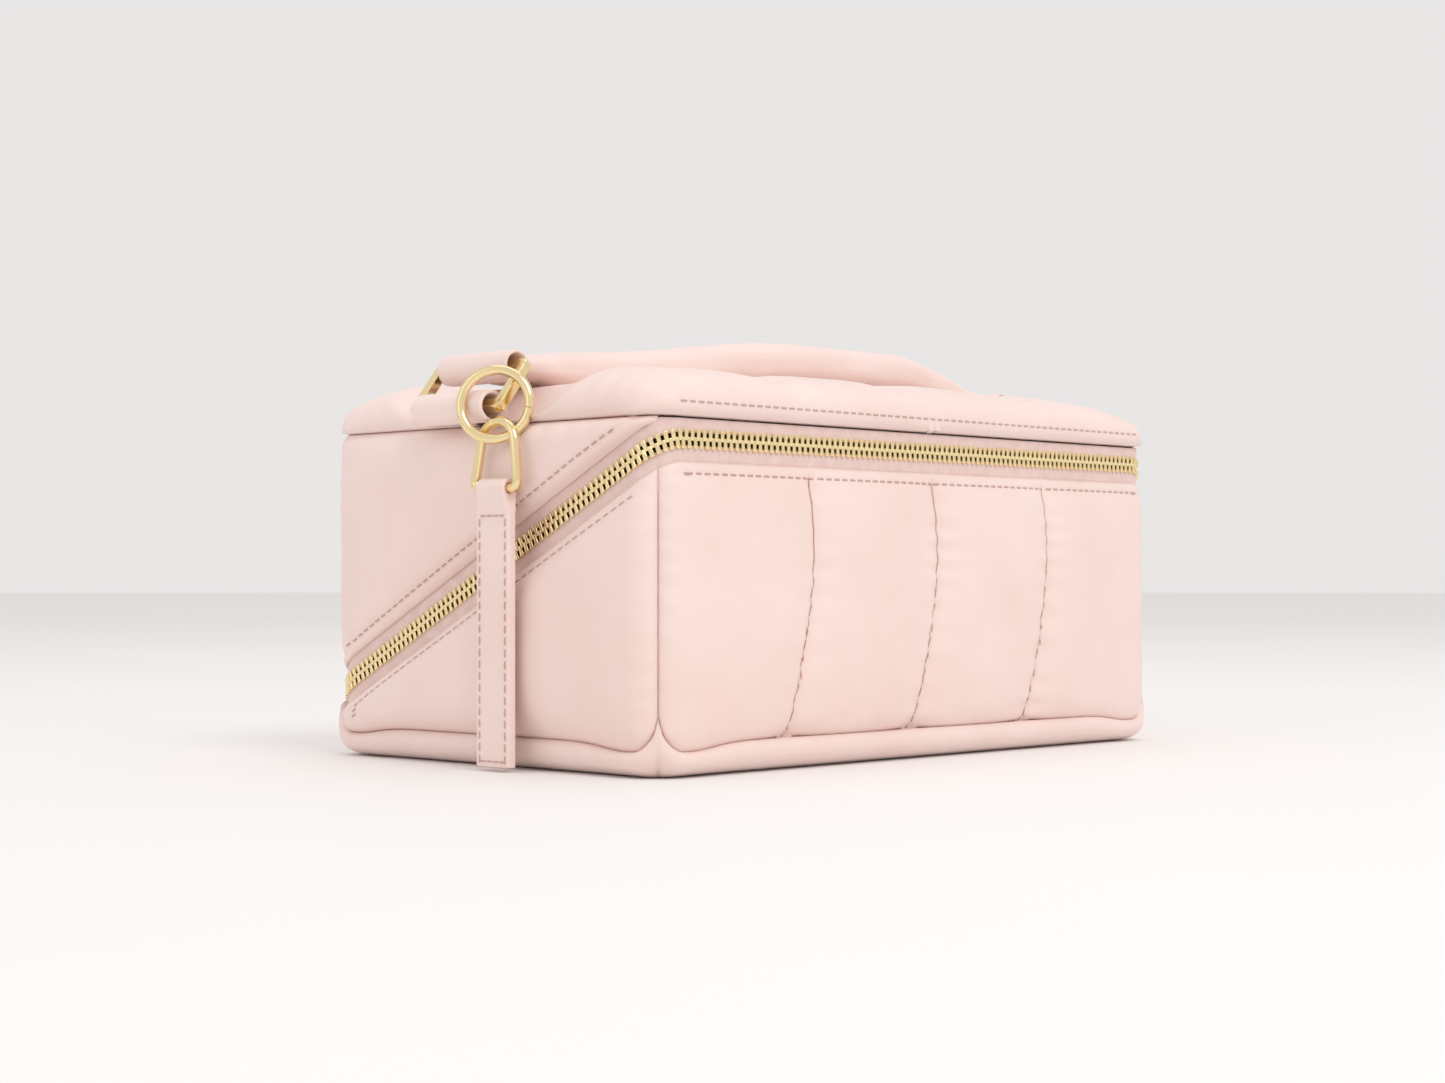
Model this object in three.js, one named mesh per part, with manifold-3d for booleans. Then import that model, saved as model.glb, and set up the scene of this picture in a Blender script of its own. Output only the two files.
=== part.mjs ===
// A quilted train-case makeup bag in soft leather, in millimetres.
//
// +Z is up and +X runs along the bag's length. The origin is on the surface that the bag stands on, under the
// middle of its plan. The front faces -Y. A zip runs along the front near the top and slopes down both ends to
// the back, so the lid is the top, the back and the upper part of each end, and it folds back about a leather
// hinge low on the back. A padded handle hangs on two oblong rings, and a key-fob charm hangs on the left one.
import * as THREE from "three";
import { LoftGeometry } from "three/addons/geometries/LoftGeometry.js";
import { mergeVertices } from "three/addons/utils/BufferGeometryUtils.js";
import Module from "manifold-3d";

const wasm = await Module();
wasm.setup();
const { Manifold, Mesh: SolidMesh } = wasm;

// ---- driving dimensions ------------------------------------------------------------------------------------

const GAP = 0.3; // left between pieces that touch

// The seam box: the rounded rectangle that the corner seams and the zip follow.
const LENGTH = 254;
const DEPTH = 158;
const CORNER_R = 12;
const BOTTOM_SEAM_Z = 10;
const TOP_SEAM_Z = 107;

// Padding: how far each panel swells out of the seam box, and how thick its wall is.
const FRONT_PUFF = 4.5;
const END_PUFF = 4.5;
const BACK_PUFF = 3.5;
const WALL = 8;
const EDGE_WALL = 1.6; // the turned edge that is stitched over the zip tape
const CHANNEL_PITCH = 60; // between the stitched channels of the front, the back and the top
const CHANNEL_SHARE = 0.35; // how much of the swelling a channel's stitches take away

// The top panel's crown above its seam, and the swelling of each of its channels.
const TOP_RISE = 15.5;
const TOP_CHANNEL_RISE = 3;
const TOP_THICKNESS = 9;
const HOLLOW_INSET = 19; // the dome inside the lid starts this far in from the walls
const CEILING_DROP = 2.4; // the lining hangs this far below the dome

// The zip: a metal chain of 5.8 mm on a woven tape, in two halves that part along its middle.
const ZIP_FRONT_Z = TOP_SEAM_Z - 7;
const ZIP_BACK_Z = BOTTOM_SEAM_Z + 9.6;
const CHAIN_HALF = 2.9;
const CHAIN_THICKNESS = 2.5;
const CHANNEL_HALF = 0.6; // the interlocking tips' zone, which the slider's post runs along
const TAPE_HALF = 13;
const TAPE_THICKNESS = 0.7;
const TAPE_DEPTH = 1.9; // the tape's outer face, behind the seam box
const PANEL_FROM_ZIP = 6.5; // a panel's turned edge starts this far from the zip's middle
const TAPE_END_X = LENGTH / 2 - 15; // the tapes end here on the back
const CHAIN_LEFT_END_X = LENGTH / 2 - 11; // the chain's closed end, just round the back left corner
const CHAIN_RIGHT_END_Y = DEPTH / 2 - 10; // the chain's open end, on the right end above the back corner
const STOP_LENGTH = 2.4;

// The lining, the base board and the pocket in the lid.
const LINING = 0.8;
const LINING_FROM_ZIP = 9.5;
const BOARD = 1.5;
const BOARD_INSET = 14;
const POCKET_WIDTH = LENGTH - 74;
const POCKET_HEIGHT = 52;
const POCKET_THICKNESS = 1.2;

// The handle, its tabs and its oblong rings.
const HANDLE_Y = 4;
const TAB_X = LENGTH / 2 + 6; // the lower bar of each ring
const TAB_Z = TOP_SEAM_Z + 4.9;
const TAB_INWARD = 4.9; // from the bar to the tab's tail, which stands on the top seam
const RING_WIDTH = 44;
const RING_HEIGHT = 20;
const RING_BAR = 3.4;
const RING_LEAN = 38; // degrees from upright, towards the middle of the bag
const LOOP_R = 5.1;
const LOOP_HOLE_R = 3.8;
const LOOP_PLAY = 1.9; // from each end of a loop to the side of its ring
const GRIP_WIDTH = 24;
const GRIP_HEIGHT = 14.6;
const GRIP_CENTRE_Z = TOP_SEAM_Z + 28;
const GRIP_CLIMB_LEFT = [-0.74 * TAB_X + 4.4, 20]; // the grip climbs from its left ring between these
const GRIP_CLIMB_RIGHT = [TAB_X - 11, TAB_X - 63]; // and comes down to its right ring between these
const COVER_WALL = 1.5;

// The charm: a ring with a spring gate, a D link and a leather tag.
const CHARM_RING_R = 10.9;
const CHARM_WIRE_R = 1.4;
const CHARM_TILT = 9.6; // degrees that the ring's top leans away from upright
const CHARM_AZIMUTH = 56.4; // degrees that the ring is turned about the vertical
const GATE_FROM = -62; // the gate's ends, in degrees round the ring from its right
const GATE_TO = -8;
const GATE_OVERRUN = 6; // degrees, cut back to the round end faces
const LINK_WIDTH = 19.4; // between the middles of the D link's two sides
const LINK_HEIGHT = 20.6;
const LINK_TOP_R = 6.2;
const LINK_SHOULDER = 14; // degrees that its two sides spread from its round top to its lower corners
const LINK_CORNER_R = 1.7;
const LINK_LEAN = 3; // degrees that it stands out of the upright, because the stiff tag pushes it off the bag
const TAG_WIDTH = 15.2;
const TAG_LENGTH = 88;
const TAG_THICKNESS = 3;

// The slider and its puller.
const SLIDER_Y = DEPTH / 2 - CORNER_R - 7; // where it parks, on the right end
const SLIDER_LENGTH = 12;
const SLIDER_WIDTH = 9;
const WING = 0.95;
const CROWN_LENGTH = 7.4;
const CROWN_HEIGHT = 3.9;
const CROWN_WIDTH = 2.4;
const PULLER_LENGTH = 21;
const PULLER_WIDTH = 7;
const PULLER_THICKNESS = 1.6;

// ---- materials -------------------------------------------------------------------------------------------

function surface(color, roughness, metalness = 0) {
  return new THREE.MeshStandardMaterial({ color, roughness, metalness });
}

const LEATHER = surface(0xf0d2ca, 0.55);
const TAPE = surface(0xe2c3bc, 0.9);
const GOLD = surface(0xe6cf8e, 0.2, 1);
const LINING_CLOTH = surface(0xe9c8c0, 0.85);
const BOARD_GREY = surface(0x8f8a86, 0.8);
const CORE = surface(0xf2efe9, 0.95);

// ---- small tools -------------------------------------------------------------------------------------------

const rad = THREE.MathUtils.degToRad;
const lerp = THREE.MathUtils.lerp;
const vec = (x, y, z) => new THREE.Vector3(x, y, z);
const steps = (n) => Array.from({ length: n + 1 }, (_, i) => i / n);

const bag = new THREE.Group();

function add(name, geometry, material, parent = bag) {
  const mesh = new THREE.Mesh(geometry, material);
  mesh.name = name;
  parent.add(mesh);
  return mesh;
}

// A geometry with its shared vertices merged, holding its positions only.
function merged(geometry) {
  const bare = new THREE.BufferGeometry();
  bare.setAttribute("position", geometry.attributes.position.clone());
  bare.setIndex(geometry.index);
  return mergeVertices(bare, 1e-3);
}

function toSolid(geometry) {
  const g = merged(geometry);
  const vertProperties = g.attributes.position.array;
  return new Manifold(new SolidMesh({ numProp: 3, vertProperties, triVerts: new Uint32Array(g.index.array) }));
}

function toGeometry(solid) {
  const mesh = solid.getMesh();
  const g = new THREE.BufferGeometry();
  g.setAttribute("position", new THREE.BufferAttribute(mesh.vertProperties, 3));
  g.setIndex(new THREE.BufferAttribute(mesh.triVerts, 1));
  return g;
}

// The same surface with its faces turned the other way.
function turned(geometry) {
  const made = merged(geometry);
  const corners = Array.from(made.index.array);
  for (let i = 0; i < corners.length; i += 3) corners.splice(i + 1, 2, corners[i + 2], corners[i + 1]);
  made.setIndex(corners);
  return made;
}

const facingOut = (geometry) => (toSolid(geometry).volume() > 0 ? geometry : turned(geometry));

// Whether a loft's sections turn the right way about the direction that they follow.
function turnsForward([first, second]) {
  const middle = (section) => section.reduce((sum, p) => sum.add(p), vec(0, 0, 0)).divideScalar(section.length);
  const facing = vec(0, 0, 0);
  first.forEach((p, i) => facing.add(vec(0, 0, 0).crossVectors(p, first[(i + 1) % first.length])));
  return facing.dot(middle(second).sub(middle(first))) > 0;
}

// A capped loft through closed sections, which may be listed either way round. No section has three corners
// in a line.
function loft(sections, caps = { capStart: true, capEnd: true }) {
  const listed = turnsForward(sections) ? sections : sections.map((section) => [...section].reverse());
  return new LoftGeometry(listed, caps);
}

// A loft whose last section meets its first.
const closedLoft = (sections) => loft([...sections, sections[0]], {});

// A closed sheet of nu by nv cells. place(i, j, outside) gives each corner, on its outer or its inner face.
function sheet(nu, nv, place) {
  const made = merged(new THREE.BoxGeometry(1, 1, 1, nu, nv, 1));
  const corners = made.attributes.position;
  for (let k = 0; k < corners.count; k++) {
    const [i, j] = [(corners.getX(k) + 0.5) * nu, (corners.getY(k) + 0.5) * nv];
    const p = place(Math.round(i), Math.round(j), corners.getZ(k) > 0);
    corners.setXYZ(k, p.x, p.y, p.z);
  }
  return facingOut(made);
}

function extrude(shape, depth, options = {}) {
  return new THREE.ExtrudeGeometry(shape, { depth, bevelEnabled: false, curveSegments: 6, ...options });
}

// A rectangle's outline between two values of x and two of y.
function rectangle(x0, x1, y0, y1) {
  const corners = [[x0, y0], [x1, y0], [x1, y1], [x0, y1]];
  return new THREE.Path(corners.map((p) => new THREE.Vector2(...p)));
}

function roundedRect(width, height, r) {
  const [x, y] = [width / 2, height / 2];
  const path = new THREE.Shape();
  path.moveTo(x - r, -y).absarc(x - r, -y + r, r, -Math.PI / 2, 0);
  path.absarc(x - r, y - r, r, 0, Math.PI / 2).absarc(-x + r, y - r, r, Math.PI / 2, Math.PI);
  return path.absarc(-x + r, -y + r, r, Math.PI, 1.5 * Math.PI);
}

// ---- the seam box and the zip's line -----------------------------------------------------------------------

const HALF_L = LENGTH / 2;
const HALF_D = DEPTH / 2;
const STRAIGHT_X = HALF_L - CORNER_R;
const STRAIGHT_Y = HALF_D - CORNER_R;
const ARC = (Math.PI / 2) * CORNER_R;
const CORNER_FR = STRAIGHT_X + ARC / 2; // the front right corner seam, as a distance from the front's middle
const CORNER_BR = STRAIGHT_X + 1.5 * ARC + 2 * STRAIGHT_Y;
const OUTLINE_LENGTH = 4 * (STRAIGHT_X + STRAIGHT_Y + ARC);

const outline = new THREE.Path();
outline.moveTo(0, -HALF_D).lineTo(STRAIGHT_X, -HALF_D);
outline.absarc(STRAIGHT_X, -STRAIGHT_Y, CORNER_R, -Math.PI / 2, 0).lineTo(HALF_L, STRAIGHT_Y);
outline.absarc(STRAIGHT_X, STRAIGHT_Y, CORNER_R, 0, Math.PI / 2).lineTo(-STRAIGHT_X, HALF_D);
outline.absarc(-STRAIGHT_X, STRAIGHT_Y, CORNER_R, Math.PI / 2, Math.PI).lineTo(-HALF_L, -STRAIGHT_Y);
outline.absarc(-STRAIGHT_X, -STRAIGHT_Y, CORNER_R, Math.PI, 1.5 * Math.PI).lineTo(0, -HALF_D);

// The point and outward normal at a distance s round the seam box, from the front's middle towards +X.
function wallAt(s) {
  const at = (d) => outline.getPoint((((d / OUTLINE_LENGTH) % 1) + 1) % 1);
  const [before, point, after] = [at(s - 0.01), at(s), at(s + 0.01)];
  const along = after.sub(before).normalize();
  return { point, normal: vec(along.y, -along.x, 0), along: vec(along.x, along.y, 0) };
}

// A point of the wall at height z, standing out of the seam box by out.
const onWall = (wall, z, out) => vec(wall.point.x, wall.point.y, z).addScaledVector(wall.normal, out);

const ZIP_SLOPE = (ZIP_BACK_Z - ZIP_FRONT_Z) / DEPTH;
const ZIP_ANGLE = Math.atan(-ZIP_SLOPE);
const zipZ = (y) => ZIP_FRONT_Z + ZIP_SLOPE * (y + HALF_D);

// The zip's climb at s, as an angle on the wall rolled out flat.
const climbAt = (s) => Math.atan(ZIP_SLOPE * wallAt(s).along.y);

// A point on the wall that is a distance across from the zip's middle at s, and stands out by out.
function besideZip(s, across, out) {
  const climb = climbAt(s);
  const z = zipZ(wallAt(s).point.y) + across * Math.cos(climb);
  return onWall(wallAt(s - across * Math.sin(climb)), z, out);
}

// The height on the wall at s that is a distance across from the zip's middle.
function fromZip(s, across) {
  let foot = s;
  for (let pass = 0; pass < 6; pass++) foot = s + across * Math.sin(climbAt(foot));
  return besideZip(foot, across, 0).z;
}

// The zip's middle at s: its place, the way along it and the way out of the bag.
function zipAt(s) {
  const wall = wallAt(s);
  const along = wall.along.clone();
  along.z = ZIP_SLOPE * wall.along.y;
  return { place: onWall(wall, zipZ(wall.point.y), 0), along: along.normalize(), out: wall.normal };
}

// Distances round the outline from one place to another, close together on the corners.
function stations(from, to, straightStep, arcSteps) {
  const marks = [from, to];
  const end = ARC + 2 * STRAIGHT_Y;
  const starts = [STRAIGHT_X, STRAIGHT_X + end, 3 * STRAIGHT_X + end + ARC, 3 * STRAIGHT_X + 2 * end + ARC];
  for (const start of starts)
    for (const lap of [0, OUTLINE_LENGTH]) marks.push(...steps(arcSteps).map((t) => start + t * ARC - lap));
  const inside = marks.filter((m) => m >= from && m <= to).sort((a, b) => a - b);
  const kept = inside.filter((m, i) => i === 0 || m - inside[i - 1] > 0.01);
  return kept.flatMap((mark, i) => {
    if (i === kept.length - 1) return [mark];
    const n = Math.max(1, Math.round((kept[i + 1] - mark) / straightStep));
    return steps(n).slice(0, -1).map((t) => lerp(mark, kept[i + 1], t));
  });
}

// ---- padded panels -----------------------------------------------------------------------------------------

const swell = (t) => 1 - Math.abs(2 * t - 1) ** 4; // full across the middle, nothing at the two seams

// One panel's share of swelling left by the stitched channels that cross it at x.
function channel(x) {
  const t = Math.abs((x / CHANNEL_PITCH) % 1);
  const inEnd = Math.abs(x) > 1.5 * CHANNEL_PITCH;
  return inEnd ? 1 : 1 - CHANNEL_SHARE * Math.abs(2 * t - 1) ** 3;
}

const ZIP_EDGE = TAPE_HALF + 3 * GAP; // a panel is thin this far from the zip, because the tape lies behind it
const FULL_WALL = ZIP_EDGE + 4.6;
const MIN_PANEL = 0.5;

// The height of a panel's far edge: the bottom seam (side -1) or the top seam (side 1).
const farEdge = (side) => (side < 0 ? BOTTOM_SEAM_Z + GAP : TOP_SEAM_Z - 2 * GAP);

// A column of a panel at s, as [distance from its zip edge, share of the full wall there], evenly spaced after
// the step between its thin edge and its full wall. With the height of its zip edge.
function panelColumn(s, side, rows) {
  const far = farEdge(side);
  const reach = (across) => side * (far - fromZip(s, side * across));
  const height = Math.max(reach(PANEL_FROM_ZIP), MIN_PANEL);
  const [thinReach, fullReach] = [height - reach(ZIP_EDGE), height - reach(FULL_WALL)];
  const thin = Math.min(thinReach, 0.85 * height);
  const step = thin + Math.min(fullReach - thinReach, (height - thin) / (rows - 1));
  const offsets = [0, thin, ...steps(rows - 2).map((t) => lerp(step, height, t))];
  const share = (offset) => THREE.MathUtils.clamp((offset - thinReach) / (fullReach - thinReach), 0, 1);
  return { height, edge: far - side * height, cells: offsets.map((offset) => [offset, share(offset)]) };
}

// A wall panel of the base (side -1) or the lid (side 1) from s0 to s1 round the outline.
function panel({ side, s0, s1, step, puff, channels = false, rows = 7 }) {
  const marks = stations(s0 + GAP / 2, s1 - GAP / 2, step, 4);
  const columns = marks.map((s) => {
    const wall = wallAt(s);
    const { height, edge, cells } = panelColumn(s, side, rows);
    const across = swell((s - s0) / (s1 - s0)) * (channels ? channel(wall.point.x) : 1);
    return cells.map(([offset, share]) => {
      const z = edge + side * offset;
      const out = puff * across * swell(offset / height);
      return [onWall(wall, z, -lerp(EDGE_WALL, WALL, share)), onWall(wall, z, out)];
    });
  });
  return sheet(marks.length - 1, rows, (i, j, outside) => columns[i][j][outside ? 1 : 0]);
}

// The padded bottom: flat inside and underneath, with a rolled edge that swells a little past its seam.
function bottomPanel() {
  const rolls = [
    [BOTTOM_SEAM_Z, 0.2],
    [7.2, 1],
    [4.2, 0.2],
    [1.8, -2.6],
    [0.5, -6],
    [0, -10.5],
  ];
  const marks = stations(0, OUTLINE_LENGTH, OUTLINE_LENGTH, 4).slice(1, -1);
  return loft(rolls.map(([z, out]) => marks.map((s) => onWall(wallAt(s), z, out))));
}

// The handle and its rings press the top down below them, so that nothing touches as the handle rises.
const PRESSED_HALF = 26; // fully pressed this far either side of the handle's middle line
const PRESSED_FADE = 24;

function pressedRise(x) {
  const fromEnd = HALF_L - Math.abs(x);
  const underRing = Math.max(0, 0.95 * (fromEnd - 3));
  return Math.min(underRing, gripFoot(x) - 0.8 - TOP_EDGE_Z);
}

const TOP_EDGE_Z = TOP_SEAM_Z + 0.8;

// The top panel's outer face at (x, y), above its edge.
function topRise(x, y) {
  const [tx, ty] = [Math.min(1, Math.abs(x) / HALF_L), Math.min(1, Math.abs(y) / HALF_D)];
  const t = Math.abs((x / CHANNEL_PITCH) % 1);
  const endShare = swell((HALF_L - Math.abs(x)) / (HALF_L - CHANNEL_PITCH));
  const across = Math.abs(x) > CHANNEL_PITCH ? endShare : swell(t);
  const crown = TOP_RISE * (1 - tx ** 6) ** 0.25 * (1 - ty ** 4) ** 0.25;
  const rise = crown + TOP_CHANNEL_RISE * across * swell((y + HALF_D) / DEPTH);
  const apart = Math.abs(y - HANDLE_Y) - PRESSED_HALF;
  const pressed = 1 - THREE.MathUtils.smoothstep(apart, 0, PRESSED_FADE);
  return lerp(rise, Math.min(rise, pressedRise(x)), pressed);
}

// The top panel's inner face, above its seam: flat by the walls and domed between them.
function topHollow(x, y) {
  const inside = Math.max(Math.abs(x) / (HALF_L - HOLLOW_INSET), Math.abs(y) / (HALF_D - HOLLOW_INSET));
  return inside >= 1 ? 0 : (TOP_RISE - TOP_THICKNESS) * (1 - inside ** 3);
}

function halfDepthAt(x) {
  const beyond = Math.max(0, Math.abs(x) - STRAIGHT_X);
  return STRAIGHT_Y + Math.sqrt(Math.max(0, CORNER_R ** 2 - beyond ** 2));
}

// Both signs of a list that starts at 0, in order.
const bothWays = (list) => [...list.slice(1).reverse().map((v) => -v), ...list];

function topPanel() {
  const half = CHANNEL_PITCH / 2;
  const channels = [0, half / 3, half, 1.7 * half, 2 * half, 2.3 * half, 3 * half];
  const rim = [32, 19, 12, 8, 4.5, 1.8, 0.8, 0].map((inset) => HALF_L - inset);
  const marks = [...channels, ...rim].sort((a, b) => a - b);
  const xs = marks.filter((x, i) => i === 0 || x - marks[i - 1] > 0.5);
  const across = bothWays(xs);
  const along = bothWays([0, 0.25, 0.42, 0.6, 0.76, 0.88, 0.95, 0.985, 1]);
  return sheet(across.length - 1, along.length - 1, (i, j, outside) => {
    const x = across[i];
    const y = along[j] * halfDepthAt(x);
    const rise = topRise(x, along[j] * HALF_D);
    return vec(x, y, outside ? TOP_EDGE_Z + rise : TOP_SEAM_Z - GAP + topHollow(x, y));
  });
}

// ---- the zip -----------------------------------------------------------------------------------------------

// A ribbon along the zip: across it from near to far on one side (+1 lid, -1 base), and from depth to depth.
function ribbon({ from, to, side, near, far, shallow, deep, step = 12 }) {
  const marks = stations(from, to, step, 4);
  return sheet(marks.length - 1, 1, (i, j, outside) => {
    const room = side * (farEdge(side) - zipZ(wallAt(marks[i]).point.y)) - GAP;
    const across = j === 0 ? near : Math.min(far, room / Math.cos(climbAt(marks[i])));
    return besideZip(marks[i], side * across, outside ? -shallow : -deep);
  });
}

const BACK_FROM_CORNER = STRAIGHT_X - TAPE_END_X;
const TAPE_END_S = CORNER_BR + ARC / 2 + BACK_FROM_CORNER;
const CHAIN_LEFT_S = -(CORNER_BR + ARC / 2 + STRAIGHT_X - CHAIN_LEFT_END_X);
const rightEndS = (y) => STRAIGHT_X + ARC + STRAIGHT_Y + y;
const CHAIN_RIGHT_S = rightEndS(Math.min(CHAIN_RIGHT_END_Y, STRAIGHT_Y));
const TAPE_MIDDLE = TAPE_DEPTH + TAPE_THICKNESS / 2;
const CHAIN_TOP = TAPE_MIDDLE - CHAIN_THICKNESS / 2;
const CHAIN_FOOT = TAPE_MIDDLE + CHAIN_THICKNESS / 2;

// A half of the tape, without the channel that its half of the chain is crimped in.
function tapeHalf(side) {
  const depths = { shallow: TAPE_DEPTH, deep: TAPE_DEPTH + TAPE_THICKNESS };
  return ribbon({ from: -TAPE_END_S, to: TAPE_END_S, side, near: CHAIN_HALF + GAP, far: TAPE_HALF, ...depths });
}

function chainHalf(side) {
  const shape = { side, near: CHANNEL_HALF, far: CHAIN_HALF, shallow: CHAIN_TOP, deep: CHAIN_FOOT };
  return ribbon({ from: CHAIN_LEFT_S, to: CHAIN_RIGHT_S, ...shape });
}

function stop(side) {
  const from = CHAIN_RIGHT_S + GAP;
  const shape = { side, near: CHANNEL_HALF, far: CHAIN_HALF, shallow: CHAIN_TOP - GAP, deep: CHAIN_FOOT + GAP };
  return ribbon({ from, to: from + STOP_LENGTH, ...shape });
}

// ---- inside ------------------------------------------------------------------------------------------------

const INSIDE_L = LENGTH - 2 * (WALL + GAP);
const INSIDE_D = DEPTH - 2 * (WALL + GAP);
const INSIDE_R = CORNER_R - WALL;
const FLOOR_Z = BOTTOM_SEAM_Z + BOARD + 2 * GAP;
const CEILING_Z = TOP_SEAM_Z - 2 * GAP;

// Everything on one side of the zip's plane and a distance from it: +1 above, -1 below.
function zipSide(side, distance) {
  const size = 1000;
  const block = new THREE.BoxGeometry(size, size, size);
  block.translate(0, 0, side * (size / 2 + distance));
  block.rotateX(-ZIP_ANGLE).translate(0, -HALF_D, ZIP_FRONT_Z);
  return toSolid(block);
}

function block(length, depth, r, z0, z1) {
  return toSolid(extrude(roundedRect(length, depth, r), z1 - z0).translate(0, 0, z0));
}

function insideShell(z0, z1) {
  const inner = block(INSIDE_L - 2 * LINING, INSIDE_D - 2 * LINING, INSIDE_R - LINING, z0 - 1, z1 + 1);
  return block(INSIDE_L, INSIDE_D, INSIDE_R, z0, z1).subtract(inner);
}

function baseLining() {
  const floor = block(INSIDE_L, INSIDE_D, INSIDE_R, FLOOR_Z, FLOOR_Z + LINING);
  return toGeometry(floor.add(insideShell(FLOOR_Z, ZIP_FRONT_Z)).intersect(zipSide(-1, LINING_FROM_ZIP)));
}

// The lid's lining: its walls and a ceiling that follows the hollow of the top panel.
function lidLining() {
  const [nx, ny] = [16, 12];
  const ceiling = sheet(nx, ny, (i, j, outside) => {
    const [x, y] = [(i / nx - 0.5) * INSIDE_L, (j / ny - 0.5) * INSIDE_D];
    return vec(x, y, CEILING_Z - (outside ? 0 : LINING) + Math.max(0, topHollow(x, y) - CEILING_DROP));
  });
  const walls = insideShell(ZIP_BACK_Z, CEILING_Z - GAP);
  const tray = toSolid(ceiling).intersect(block(INSIDE_L, INSIDE_D, INSIDE_R, 0, TOP_SEAM_Z + TOP_RISE));
  return toGeometry(tray.add(walls).intersect(zipSide(1, LINING_FROM_ZIP)));
}

function baseBoard() {
  const shape = roundedRect(LENGTH - 2 * BOARD_INSET, DEPTH - 2 * BOARD_INSET, CORNER_R / 2);
  return extrude(shape, BOARD).translate(0, 0, BOTTOM_SEAM_Z + GAP);
}

// A flat slip pocket on the inside of the lid's back.
function lidPocket() {
  const foot = ZIP_BACK_Z + 22;
  const pocket = extrude(roundedRect(POCKET_WIDTH, POCKET_HEIGHT, 8), POCKET_THICKNESS);
  pocket.rotateX(Math.PI / 2);
  return pocket.translate(0, INSIDE_D / 2 - LINING - GAP, foot + POCKET_HEIGHT / 2);
}

// The leather hinge across the back, in the half that stays on the base and the half that lifts with the lid.
function hingeHalf(side) {
  const half = TAPE_END_X - GAP;
  const foot = side > 0 ? ZIP_BACK_Z + 0.4 : BOTTOM_SEAM_Z + GAP;
  const head = side > 0 ? ZIP_BACK_Z + TAPE_HALF - 1 : ZIP_BACK_Z - 0.4;
  const strip = new THREE.BoxGeometry(2 * half, TAPE_THICKNESS, head - foot);
  return strip.translate(0, HALF_D - TAPE_MIDDLE, (foot + head) / 2);
}

// ---- the handle --------------------------------------------------------------------------------------------

const LOOP_WIDTH = RING_WIDTH - 2 * RING_BAR - 2 * LOOP_PLAY;
const BAR_SPACING = RING_HEIGHT - RING_BAR;
const LEAN = rad(RING_LEAN);
const UPPER_X = TAB_X - BAR_SPACING * Math.sin(LEAN);
const UPPER_Z = TAB_Z + BAR_SPACING * Math.cos(LEAN);

// A cylinder whose axis runs along Y, centred on HANDLE_Y.
function crossRod(r, length, x, z) {
  return new THREE.CylinderGeometry(r, r, length, 20).translate(x, HANDLE_Y, z);
}

// An oblong ring about the middle of its lower bar, upright, in the YZ plane.
function oblongRing() {
  const ring = roundedRect(RING_WIDTH - 0.8, RING_HEIGHT - 0.8, 2.2);
  ring.holes.push(roundedRect(RING_WIDTH - 2 * RING_BAR + 0.8, RING_HEIGHT - 2 * RING_BAR + 0.8, 1.4));
  const bevel = { bevelEnabled: true, bevelThickness: 0.4, bevelSize: 0.4, bevelSegments: 1, curveSegments: 3 };
  const made = extrude(ring, RING_BAR - 0.8, bevel).translate(0, 0, 0.4 - RING_BAR / 2);
  return made.rotateX(Math.PI / 2).rotateZ(Math.PI / 2).translate(0, 0, BAR_SPACING / 2);
}

// The leather tab that is caught in the top seam and folds round a ring's lower bar.
function tab(side) {
  const foot = TOP_SEAM_Z + 0.8 + GAP;
  const tail = new THREE.BoxGeometry(2.6, LOOP_WIDTH, TAB_Z - foot);
  tail.translate(-side * TAB_INWARD, HANDLE_Y, (TAB_Z + foot) / 2);
  const loop = toSolid(crossRod(LOOP_R, LOOP_WIDTH, 0, TAB_Z));
  const hole = toSolid(crossRod(LOOP_HOLE_R, LOOP_WIDTH + 2, 0, TAB_Z));
  const made = loop.add(toSolid(tail)).subtract(hole);
  return toGeometry(made).translate(side * TAB_X, 0, 0);
}

// The height of the handle's middle line at x.
function gripZ(x) {
  const left = THREE.MathUtils.smoothstep(x, ...GRIP_CLIMB_LEFT);
  const right = THREE.MathUtils.smoothstep(-x, -GRIP_CLIMB_RIGHT[0], -GRIP_CLIMB_RIGHT[1]);
  return lerp(UPPER_Z + 0.2, GRIP_CENTRE_Z, Math.min(left, right));
}

// How much of its full section the grip has at x: it is wide and flat at its loops.
const gripFullness = (x) => THREE.MathUtils.smoothstep(1 - Math.abs(x) / UPPER_X, 0.02, 0.34);
const gripHalfHeight = (x) => lerp(2 * LOOP_R - 1.4, GRIP_HEIGHT, gripFullness(x)) / 2;
const gripFoot = (x) => gripZ(x) - gripHalfHeight(x);

// Outlines of the grip from one x to another, all shrunk by inset.
function gripSections(from, to, count, inset) {
  return steps(count).map((k) => {
    const x = lerp(from, to, k);
    const wide = lerp(LOOP_WIDTH, GRIP_WIDTH, gripFullness(x)) / 2 - inset;
    const high = gripHalfHeight(x) - inset;
    return steps(12).slice(1).map((turn) => {
      const [c, s] = [Math.cos(2 * Math.PI * turn), Math.sin(2 * Math.PI * turn)];
      const flat = (v) => Math.sign(v) * Math.abs(v) ** 0.8;
      return vec(x, HANDLE_Y + wide * flat(c), gripZ(x) + high * flat(s));
    });
  });
}

const CORE_FROM_X = TAB_X - 50; // the padding starts this far from the middle

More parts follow.
